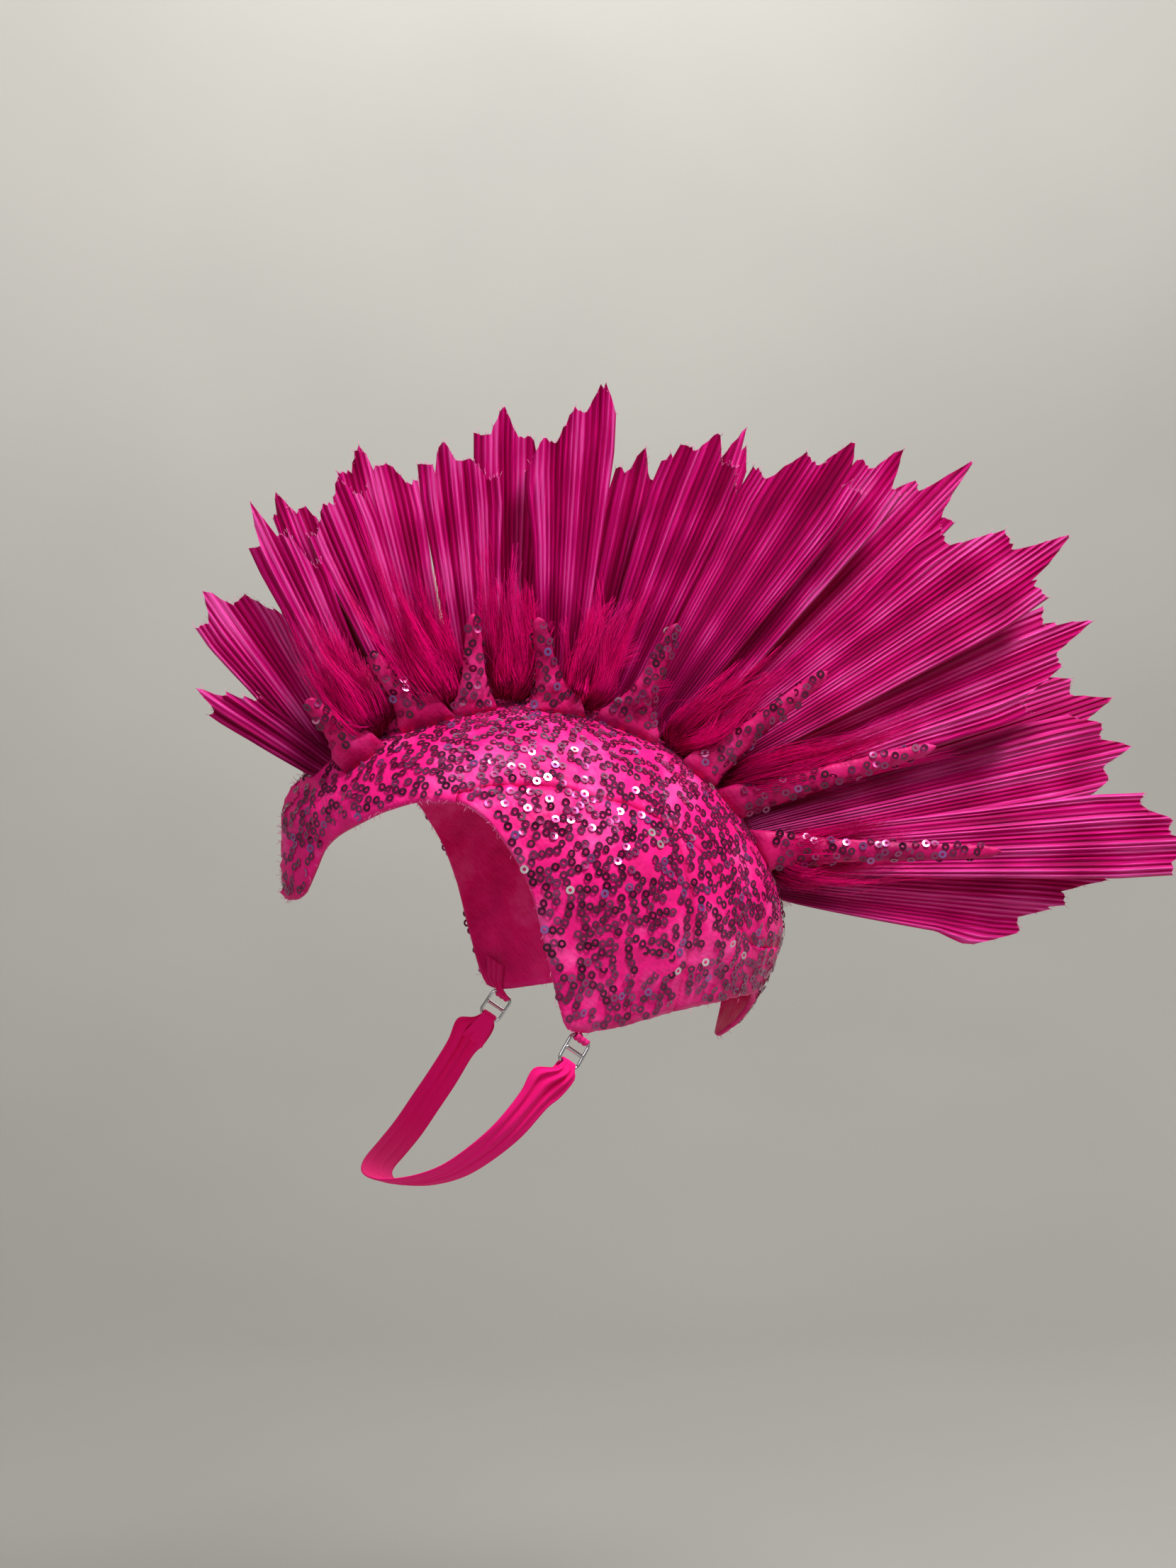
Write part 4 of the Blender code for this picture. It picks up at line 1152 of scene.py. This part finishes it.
def spike_places(row, side, rng):
    """Places of the sequins on a spike, most of them on its outer face."""
    places = []
    spots = Spots()
    for _ in range(SPIKE_TRIES):
        t = rng.random() ** 1.2 * 0.93 + 0.03
        ang = rng.uniform(0.12 * math.pi, 0.88 * math.pi)
        if rng.random() < INNER_SHARE:
            ang = -ang
        p = spike_point(row, side, t, ang)
        if cap_field(p)[0] < CAP_MARGIN or not spots.free(p, SPIKE_SPACING):
            continue
        spots.add(p)
        da = spike_point(row, side, t, ang + 0.1) - p
        dt = spike_point(row, side, min(1.0, t + 0.02), ang) - p
        n = da.cross(dt).normalized()
        places.append((p, -n if n.x * side * math.sin(ang) < 0 else n))
    return places


def add_sequins(name, places, props, rng, lean):
    """One mesh of ring sequins."""
    verts, faces, tints = sequin_mesh(places, props, rng, lean)
    add_mesh(name, verts, faces, shared(stamped_foil_sequin), smooth=False,
             attrs={"tint": tints})


def build_tuft(name, row, side, props, rng):
    """Fluff: silky clumped fibres that swell from a round foot and end in loose wisps."""
    foot, end, along, across, length = crest_run(*row[:4])
    root = seat(in_layer("tuft", side, foot.y, foot.z), along, TUFT_GAP)
    tip = in_layer("tuft", side, end.y, end.z)
    lean = (tip.x - root.x) / length
    gen = np.random.default_rng(SEED + rng.randint(0, 9999))
    a, c, x = np.array(along), np.array(across), np.array((1.0, 0.0, 0.0)) * side
    t = np.linspace(0, 1, FIBRE_POINTS)
    swell = np.sin(np.pi * np.minimum(1.0, 1.25 * t) ** 0.8)
    spread = TUFT_SPREAD * row[4]
    paths, tints = [], []
    per = props.fibres // CLUMPS
    sway = gen.choice((-1.0, 1.0)) * gen.uniform(*SWAY)
    for k in range(CLUMPS):
        aside = gen.normal(0, 0.55) * spread
        reach = length * gen.uniform(0.45, 1.08) * (1.0 - 0.012 * abs(aside))
        # every tenth clump strays past the others, every fourth one puffs out
        stray = k % 10 == 9
        if stray:
            reach = length * gen.uniform(1.05, 1.3)
            aside *= 1.4
        bulge = math.copysign(2.0 + 0.22 * abs(aside), aside) * gen.uniform(0.5, 1.4)
        puff = gen.uniform(*(FULL_PUFF if k % 4 == 3 else FLAT_PUFF))
        curl, phase = gen.normal(0, CURL), gen.uniform(0, 6.3)
        start = 0.28 * aside + gen.normal(0, 1.6)
        shade = gen.uniform(*CLUMP_SHADE)
        for _ in range(per):
            own = gen.normal(0, 1, 3)
            r = reach * gen.uniform(0.72, 1.06)
            wide = start + (aside - start) * t ** 1.4 + (bulge + own[0] * 0.8) * swell
            wide = wide + curl * np.sin(3.0 * t + phase) * t + sway * t * t
            wide = wide + own[0] * (1.2 - 0.8 * t) + own[2] * (1.8 if stray else 0.9) * t * t
            deep = own[1] * 0.8 + 0.8 + (puff + own[1] * 0.9) * swell
            high = r * t + own[2] * 0.6 * (1 - t)
            line = np.array(root) + np.outer(high, a) + np.outer(wide, c)
            line += np.outer(deep, x) + np.outer(lean * side * high, x)
            paths.append(line)
            # position along the fibre picks the painted root shade and swell highlight; the clump's
            # random tone is added
            tints.append(0.62 * t + shade + 0.05 * own[0])
    # short down round the foot
    for _ in range(props.fibres // 5):
        own = gen.normal(0, 1, 3)
        size = gen.uniform(*DOWN_LENGTH)
        way = x * abs(own[0]) * 0.6 + c * own[1] * 0.7 + a * (0.25 + 0.3 * own[2])
        way /= np.linalg.norm(way) + 1e-6
        at = np.array(root) + c * gen.uniform(-4.5, 4.5) + x * gen.uniform(0, 2.4)
        line = at + np.outer(size * t, way) + np.outer(size * 0.8 * t * t, a)
        paths.append(line)
        # the short down takes the low end of the ramp: painted root shade up to the painted highlight
        tints.append(0.4 * t + gen.uniform(0.0, 0.3))
    radii = np.tile(FIBRE_RADIUS * (1.0 - 0.6 * t), (len(paths), 1))
    verts, faces = many_tubes(np.array(paths), radii)
    shades = np.repeat(np.clip(np.array(tints), 0, 1).ravel(), 3)
    add_mesh(name + "_fluff", verts, faces, shared(dyed_marabou), (name,),
             attrs={"along": shades})


def slide_frame(side):
    """Centre and axes (across, down, out) of the wire slide under a cheek tip."""
    azimuth = SLIDE_AZIMUTH * side
    low = on_cap(azimuth, -SLIDE_DROP)
    out = cap_normal(azimuth, -SLIDE_DROP)
    out.z = 0.0
    out.normalize()
    down = Vector((0, 0, -1))
    ahead = Vector((0, -1, 0))
    ahead = (ahead - out * ahead.dot(out)).normalized()
    tilt = math.radians(SLIDE_TILT)
    down = (down * math.cos(tilt) + ahead * math.sin(tilt)).normalized()
    across = out.cross(down).normalized()
    centre = low - out * SLIDE_INSET
    return centre, across, down, out


def build_slide(side, word):
    """Bright wire figure-8 slide with a soldered middle bar."""
    centre, across, down, out = slide_frame(side)
    half_w = 0.5 * (SLIDE_WIDE - WIRE)
    half_t = 0.5 * (SLIDE_TALL - WIRE)
    corner = SLIDE_CORNER
    path = []
    for cx, cy, start in ((1, 1, 0), (-1, 1, 90), (-1, -1, 180), (1, -1, 270)):
        for step in range(0, 91, 10):
            ang = math.radians(start + step)
            path.append((cx * (half_w - corner) + corner * math.cos(ang),
                         cy * (half_t - corner) + corner * math.sin(ang),
                         math.cos(ang), math.sin(ang)))
    sides = WIRE_SIDES
    points = []
    for x, y, nx, ny in path:
        # the long sides are drawn in a little at the middle bar
        if abs(x) > half_w * 0.7:
            x -= math.copysign(SLIDE_WAIST * math.exp(-(y / 1.6) ** 2), x)
        for j in range(sides):
            ang = 2 * math.pi * j / sides
            r = 0.5 * WIRE * math.cos(ang)
            points.append(centre + across * (x + nx * r) + down * (y + ny * r)
                          + out * (0.5 * WIRE * math.sin(ang)))
    faces = ring_walls(len(path), sides, closed=True)
    base = len(points)
    last = BAR_RINGS - 1
    for k in range(BAR_RINGS):
        x = -half_w + 2 * half_w * k / last
        # solder thickens the bar towards both ends
        r = 0.5 * WIRE * (1.0 + 0.25 * (abs(k - last / 2) / (last / 2)) ** 4)
        for j in range(sides):
            ang = 2 * math.pi * j / sides
            points.append(centre + across * x + down * (r * math.cos(ang)) + out * (r * math.sin(ang)))
    faces += [tuple(base + i for i in f) for f in tube_faces(BAR_RINGS, sides)]
    face_out(add_mesh("slide_%s_wire" % word, points, faces, shared(plated_wire),
                      ("strap_slide_" + word,)))


def hairpin(centre, down, out, bar_at, toward, wall):
    """Half-turn stations round a slide bar, from the outer side to the inner side."""
    reach = 0.5 * WIRE + WIRE_GAP + 0.5 * wall
    middle = centre + down * bar_at
    turned = []
    for k in range(HAIRPIN_STEPS + 1):
        ang = math.pi * k / HAIRPIN_STEPS
        normal = out * math.cos(ang) - down * (math.sin(ang) * toward)
        turned.append((middle + normal * reach, normal))
    return turned


def catmull(stations, per):
    """Finer stations through coarse ones: (centre, across, out, width, wall, gather)."""
    out = []
    n = len(stations)
    for i in range(n - 1):
        s = [stations[max(0, i - 1)], stations[i], stations[i + 1], stations[min(n - 1, i + 2)]]
        for k in range(per):
            t = k / per
            w = (-0.5 * t + t * t - 0.5 * t ** 3, 1 - 2.5 * t * t + 1.5 * t ** 3,
                 0.5 * t + 2 * t * t - 1.5 * t ** 3, -0.5 * t * t + 0.5 * t ** 3)
            mixed = []
            for part in range(6):
                v = s[0][part] * w[0] + s[1][part] * w[1] + s[2][part] * w[2] + s[3][part] * w[3]
                if part in (1, 2):
                    v = v.normalized()
                mixed.append(v)
            out.append(tuple(mixed))
    out.append(stations[-1])
    return out


def strip(name, stations, folds, mat, node_name):
    """Cloth strip with lengthwise folds; gather says how deep they are at each station."""
    cols = STRIP_COLUMNS
    front, back, uvs = [], [], []
    walked = 0.0
    last = None
    for centre, across, out, width, wall, gather in stations:
        if last is not None:
            walked += (centre - last).length
        last = centre
        for j in range(cols):
            u = j / (cols - 1) - 0.5
            rise = folds(u, gather, walked)
            edge = math.sqrt(max(0.0, 1.0 - (2 * u) ** 8))
            thick = 0.5 * wall * (0.35 + 0.65 * edge)
            p = centre + across * (u * width) + out * rise
            front.append(p + out * thick)
            back.append(p - out * thick)
            uvs.append((u * width, walked))
    faces = two_sided(len(stations), cols)
    obj = add_mesh(name, front + back, faces, mat, (node_name,), uvs=uvs + uvs)
    return face_out(obj), walked


def build_tab(side, word, props):
    """Folded satin tab that holds the slide to the cheek tip."""
    centre, across, down, out = slide_frame(side)
    bar_at = -0.5 * (SLIDE_TALL - WIRE)
    turned = hairpin(centre, down, out, bar_at, -1.0, TAB_WALL)
    stations = [(turned[0][0] - down * 0.4, across, out, WINDOW_CLOTH, TAB_WALL, 0.0)]
    for p, normal in turned:
        stations.append((p, across, normal, WINDOW_CLOTH, TAB_WALL, 0.1))
    leg = turned[-1][0]
    azimuth = SLIDE_AZIMUTH * side
    depth = WALL + 1.3 * SEAT_GAP + 0.9 + 0.5 * TAB_WALL
    for share in (0.35, 0.7, 1.0):
        z = leg.z + TAB_LEG * share
        inner = on_cap(azimuth, z) - cap_normal(azimuth, z) * depth
        stations.append((inner, across, -out, WINDOW_CLOTH + 3.0 * share, TAB_WALL, 0.0))

    def folds(u, _gather, _walked):
        return 0.16 * math.cos(u * 19.0)
    strip("slide_tab_%s_cloth" % word, catmull(stations, TAB_FINER), folds,
          shared(dyed_satin, props), "slide_tab_" + word)


def build_strap(props):
    """Chin strap of doubled jersey, bunched at each slide; returns its cloth's length."""
    halves = []
    for side in (1, -1):
        centre, across, down, out = slide_frame(side)
        bar_at = 0.5 * (SLIDE_TALL - WIRE)
        turned = hairpin(centre, down, out, bar_at, 1.0, STRAP_WALL)
        ends = []
        tail = turned[-1][0]
        for share in (1.0, 0.55):
            p = tail + down * (STRAP_TAIL * share) - out * (0.6 * share)
            ends.append((p, across, -out, WINDOW_CLOTH + 4.5 * share, STRAP_WALL, 0.2))
        for p, normal in reversed(turned):
            ends.append((p, across, normal, WINDOW_CLOTH, STRAP_WALL, 0.12))
        first = turned[0][0] + down * 3.5 + out * 0.3
        ends.append((first, across, out, WINDOW_CLOTH + 4.0, STRAP_WALL, 0.9))
        line = [Vector((x * side, y, z)) * STRAP_REACH for x, y, z in STRAP_TABLE]
        run = [first] + line
        for k, p in enumerate(line):
            after = line[k + 1] if k + 1 < len(line) else Vector((-p.x, p.y, p.z))
            way = (after - run[k]).normalized()
            # the strap's outer face looks away from the jaw
            normal = p - Vector((0.0, 0.75 * p.y, -125.0))
            normal = (normal - way * normal.dot(way)).normalized()
            cross = normal.cross(way).normalized()
            flare = STRAP_FLARE if k == 0 else STRAP_WIDE
            gather = (1.0, 0.8, 0.6, 0.5)[k] if k < 4 else 0.42
            ends.append((p, cross, normal, flare, STRAP_WALL, gather))
        halves.append(ends)
    right = []
    for centre, across, out, width, wall, gather in reversed(halves[1]):
        right.append((centre, -across, out, width, wall, gather))

    def folds(u, gather, walked):
        # two drifting creases along the strap, and bunched pleats near the slides
        drift = 0.05 * math.sin(walked * 0.045)
        long_fold = -1.5 * math.exp(-((u - 0.1 - drift) / 0.045) ** 2)
        long_fold -= 0.9 * math.exp(-((u + 0.2 + drift) / 0.05) ** 2)
        pleats = 1.5 * math.sin(u * 22.0 + 0.6 + walked * 0.06) * max(0.0, gather - 0.5)
        return gather * (long_fold + 0.5 * math.cos(u * 6.28)) + pleats
    stations = catmull(halves[0] + right, STRAP_FINER)
    obj, length = strip("chin_strap_jersey", stations, folds, shared(knitted_jersey, props),
                        "chin_strap")
    # the free run starts where the cloth leaves the slide bar; tail and half turn come before it
    return length


def build_threads(props):
    """Frayed satin threads along the raw front and cheek edges and the ridge seam."""
    rng = random.Random(SEED + 99)
    paths = []
    for _ in range(props.threads):
        side = rng.choice((1, -1))
        kind = rng.random()
        if kind < SEAM_THREADS:
            azimuth = rng.uniform(-2.0, 2.0)
            z = rng.uniform(-78.0, -24.0)
            p = on_cap(azimuth, z) + cap_normal(azimuth, z) * 0.8
            way = cap_normal(azimuth, z) + Vector((rng.gauss(0, 0.5), 0, rng.gauss(0, 0.5)))
        else:
            span = (0.0, 96.0) if kind < FRONT_THREADS else (96.0, 180.0)
            azimuth = side * rng.uniform(*span)
            z = rim_z(azimuth) + rng.uniform(-0.1, 0.8)
            p = on_cap(azimuth, z) - cap_normal(azimuth, z) * rng.uniform(-0.3, 1.6)
            way = Vector((rng.gauss(0, 0.6), rng.gauss(0, 0.6), -1.0)) + cap_normal(azimuth, z) * 0.3
        way.normalize()
        size = rng.uniform(0.7, 2.4)
        bend = any_way(rng) * size * 0.25
        paths.append(thread_path(p, way, size, bend, (0.0, 0.35, 0.7, 1.0)))
    radii = np.full((len(paths), 4), THREAD_RADIUS)
    verts, faces = many_tubes(np.array(paths), radii)
    add_mesh("frayed_threads", verts, faces, shared(frayed_filament))


# Stage

def aim_at(obj, target):
    """Turn a lamp or camera towards a point."""
    way = Vector(target) - obj.location
    obj.rotation_euler = way.to_track_quat("-Z", "Y").to_euler()


def add_lamp(name, place, size, power, colour, target):
    """Soft rectangular lamp that the camera does not see."""
    lamp = bpy.data.lights.new(name, "AREA")
    lamp.shape = "RECTANGLE"
    lamp.size, lamp.size_y = size
    lamp.energy = power
    lamp.color = linear(colour)[:3]
    obj = bpy.data.objects.new(name, lamp)
    obj.location = place
    bpy.context.scene.collection.objects.link(obj)
    aim_at(obj, target)
    obj.visible_camera = False


def add_bowl():
    """Pale paper bowl with a round corner between floor and wall."""
    bend = BOWL_REACH - BOWL_CORNER
    profile = [(FLOOR_HALF, FLOOR_Z), (bend, FLOOR_Z)]
    for k in range(1, CORNER_STEPS + 1):
        ang = 0.5 * math.pi * k / CORNER_STEPS
        rise = BOWL_CORNER * (1 - math.cos(ang))
        profile.append((bend + BOWL_CORNER * math.sin(ang), FLOOR_Z + rise))
    profile.append((BOWL_REACH, BOWL_TOP))
    points = []
    for r, z in profile:
        for j in range(BOWL_SIDES):
            ang = 2 * math.pi * j / BOWL_SIDES
            points.append((r * math.cos(ang), r * math.sin(ang), z))
    centre = len(points)
    points.append((0.0, 0.0, FLOOR_Z))
    faces = ring_walls(len(profile), BOWL_SIDES)
    for j in range(BOWL_SIDES):
        faces.append((centre, (j + 1) % BOWL_SIDES, j))
    mesh = bpy.data.meshes.new("floor")
    mesh.from_pydata(points, [], faces)
    mesh.polygons.foreach_set("use_smooth", [True] * len(mesh.polygons))
    mesh.materials.append(seamless_paper())
    floor = bpy.data.objects.new("floor", mesh)
    bpy.context.scene.collection.objects.link(floor)


def add_camera():
    """Camera at the photograph's angle, set up from the values at the top."""
    a = math.radians(CAMERA_AZIMUTH)
    e = math.radians(CAMERA_ELEVATION)
    aim = Vector(CAMERA_AIM)
    data = bpy.data.cameras.new("camera")
    data.lens = CAMERA_LENS
    data.sensor_width = 36.0
    data.clip_start = 0.05
    cam = bpy.data.objects.new("camera", data)
    cam.location = aim + Vector((math.sin(a) * math.cos(e), -math.cos(a) * math.cos(e),
                                 math.sin(e))) * CAMERA_DISTANCE
    bpy.context.scene.collection.objects.link(cam)
    aim_at(cam, aim)
    bpy.context.scene.camera = cam


def build_stage():
    """Seamless pale bowl, soft lamps, dim room light and the camera."""
    add_bowl()
    for lamp in LAMPS:
        add_lamp(*lamp)
    world = bpy.data.worlds.new("soft_room")
    world.use_nodes = True
    back = world.node_tree.nodes["Background"]
    back.inputs["Color"].default_value = linear(ROOM_COLOUR)
    back.inputs["Strength"].default_value = ROOM_STRENGTH
    bpy.context.scene.world = world
    add_camera()
    bpy.context.scene.view_settings.view_transform = "Standard"


# Add-on

class HeadpieceSettings(bpy.types.PropertyGroup):
    sequin_size: bpy.props.FloatProperty(
        name="Sequin diameter", description="Outer diameter of one sequin", default=0.0035,
        min=0.001, unit="LENGTH")
    sequin_hole: bpy.props.FloatProperty(
        name="Sequin hole", description="Hole as a share of the diameter", default=0.42,
        min=0.1, max=0.8, subtype="FACTOR")
    sequin_step: bpy.props.FloatProperty(
        name="Sequin spacing", description="Distance between sequins in a sewn chain",
        default=0.0032, min=0.001, unit="LENGTH")
    pleat_pitch: bpy.props.FloatProperty(
        name="Pleat pitch", description="Width of one pleat of a blade", default=0.0024,
        min=0.0008, unit="LENGTH")
    fibres: bpy.props.IntProperty(
        name="Fibres", description="Fibres in each fluff tuft", default=660, min=30)
    threads: bpy.props.IntProperty(
        name="Frayed threads", description="Loose threads at the raw edges", default=280, min=1)
    satin_colour: bpy.props.FloatVectorProperty(
        name="Satin", description="Main colour of the satin", subtype="COLOR", size=3,
        min=0.0, max=1.0, default=linear("EE1A80")[:3])
    strap_colour: bpy.props.FloatVectorProperty(
        name="Strap", description="Colour of the jersey strap", subtype="COLOR", size=3,
        min=0.0, max=1.0, default=linear("F5127A")[:3])


class HEADPIECE_OT_cap(bpy.types.Operator):
    """Build the four dressed panels of the cap"""
    bl_idname = "headpiece.cap"
    bl_label = "Cap cloth"

    def execute(self, context):
        props = context.scene.headpiece
        build_crown(props)
        for side, word in SIDES:
            columns = fine_columns(SIDE_FROM, SIDE_TO)
            tops = [seam_z(a) - SEAM_ALLOWANCE for a in columns]
            lows = [rim_z(a) for a in columns]
            columns = [side * a for a in columns]
            build_panel("cap_side_%s_cloth" % word, columns, tops, lows, SIDE_ROWS,
                        (side * SIDE_FROM, side * SIDE_TO), props, "cap_side_" + word)
        half = fine_columns(SIDE_TO + 0.1, 180.0)
        columns = half + [360.0 - a for a in reversed(half[:-1])]
        near = [a if a <= 180.0 else a - 360.0 for a in columns]
        tops = [seam_z(a) - SEAM_ALLOWANCE for a in near]
        lows = [rim_z(a) for a in near]
        build_panel("cap_nape_cloth", columns, tops, lows, NAPE_ROWS,
                    (SIDE_TO + 0.1, 360.0 - SIDE_TO - 0.1), props, "cap_nape")
        return {"FINISHED"}


class HEADPIECE_OT_sequins(bpy.types.Operator):
    """Sew wandering chains of sequins over the cap"""
    bl_idname = "headpiece.sequins"
    bl_label = "Cap sequins"

    def execute(self, context):
        props = context.scene.headpiece
        rng = random.Random(SEED + 3)
        for panel, places in scatter_sequins(props).items():
            add_sequins("sequins_" + panel, places, props, rng, CAP_LEAN)
            print("sequins", panel, len(places))
        return {"FINISHED"}


class HEADPIECE_OT_blades(bpy.types.Operator):
    """Build the pleated, saw-cut blades of the crest"""
    bl_idname = "headpiece.blades"
    bl_label = "Crest blades"

    def execute(self, context):
        tips = []
        for index, row in enumerate(BLADE_TABLE):
            tips += build_blade(index, row, context.scene.headpiece)
        build_fray(tips)
        return {"FINISHED"}


class HEADPIECE_OT_spikes(bpy.types.Operator):
    """Build the padded spikes and their sequins"""
    bl_idname = "headpiece.spikes"
    bl_label = "Spikes"

    def execute(self, context):
        props = context.scene.headpiece
        rng = random.Random(SEED + 7)
        for side, word in SIDES:
            for index, row in enumerate(SPIKE_TABLE):
                name = "spike_%s_%d" % (word, index + 1)
                build_spike(name, row, side)
                places = spike_places(row, side, rng)
                if places:
                    add_sequins(name + "_sequins", places, props, rng, SPIKE_LEAN)
        return {"FINISHED"}


class HEADPIECE_OT_tufts(bpy.types.Operator):
    """Build the fluff tufts from fine fibres"""
    bl_idname = "headpiece.tufts"
    bl_label = "Fluff tufts"

    def execute(self, context):
        rng = random.Random(SEED + 11)
        for side, word in SIDES:
            for index, row in enumerate(TUFT_TABLE):
                build_tuft("tuft_%s_%d" % (word, index + 1), row, side,
                           context.scene.headpiece, rng)
        return {"FINISHED"}


class HEADPIECE_OT_strap(bpy.types.Operator):
    """Build the wire slides, cheek tabs and chin strap"""
    bl_idname = "headpiece.strap"
    bl_label = "Slides, tabs and strap"

    def execute(self, context):
        props = context.scene.headpiece
        for side, word in SIDES:
            build_slide(side, word)
            build_tab(side, word, props)
        print("strap length mm", round(build_strap(props), 1))
        return {"FINISHED"}


class HEADPIECE_OT_threads(bpy.types.Operator):
    """Add frayed threads at the raw edges"""
    bl_idname = "headpiece.threads"
    bl_label = "Frayed threads"

    def execute(self, context):
        build_threads(context.scene.headpiece)
        return {"FINISHED"}


class HEADPIECE_OT_stage(bpy.types.Operator):
    """Build the backdrop, lights and camera"""
    bl_idname = "headpiece.stage"
    bl_label = "Stage"

    def execute(self, context):
        build_stage()
        return {"FINISHED"}


class HEADPIECE_PT_panel(bpy.types.Panel):
    """Sizes, colours and builders of the headpiece"""
    bl_idname = "HEADPIECE_PT_panel"
    bl_label = "Sequin headpiece"
    bl_space_type = "VIEW_3D"
    bl_region_type = "UI"
    bl_category = "Headpiece"

    def draw(self, context):
        props = context.scene.headpiece
        for key in HeadpieceSettings.__annotations__:
            self.layout.prop(props, key)
        for builder in BUILDERS:
            self.layout.operator(builder.bl_idname)


BUILDERS = (HEADPIECE_OT_cap, HEADPIECE_OT_sequins, HEADPIECE_OT_blades, HEADPIECE_OT_spikes,
            HEADPIECE_OT_tufts, HEADPIECE_OT_strap, HEADPIECE_OT_threads, HEADPIECE_OT_stage)


def register():
    bpy.utils.register_class(HeadpieceSettings)
    bpy.types.Scene.headpiece = bpy.props.PointerProperty(type=HeadpieceSettings)
    for builder in BUILDERS:
        bpy.utils.register_class(builder)
    bpy.utils.register_class(HEADPIECE_PT_panel)


def unregister():
    bpy.utils.unregister_class(HEADPIECE_PT_panel)
    for builder in reversed(BUILDERS):
        bpy.utils.unregister_class(builder)
    del bpy.types.Scene.headpiece
    bpy.utils.unregister_class(HeadpieceSettings)


def main():
    """Register the add-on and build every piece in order."""
    register()
    bpy.ops.headpiece.cap()
    bpy.ops.headpiece.sequins()
    bpy.ops.headpiece.blades()
    bpy.ops.headpiece.spikes()
    bpy.ops.headpiece.tufts()
    bpy.ops.headpiece.strap()
    bpy.ops.headpiece.threads()
    bpy.ops.headpiece.stage()
    bpy.context.view_layer.update()
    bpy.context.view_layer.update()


if __name__ == "__main__":
    main()
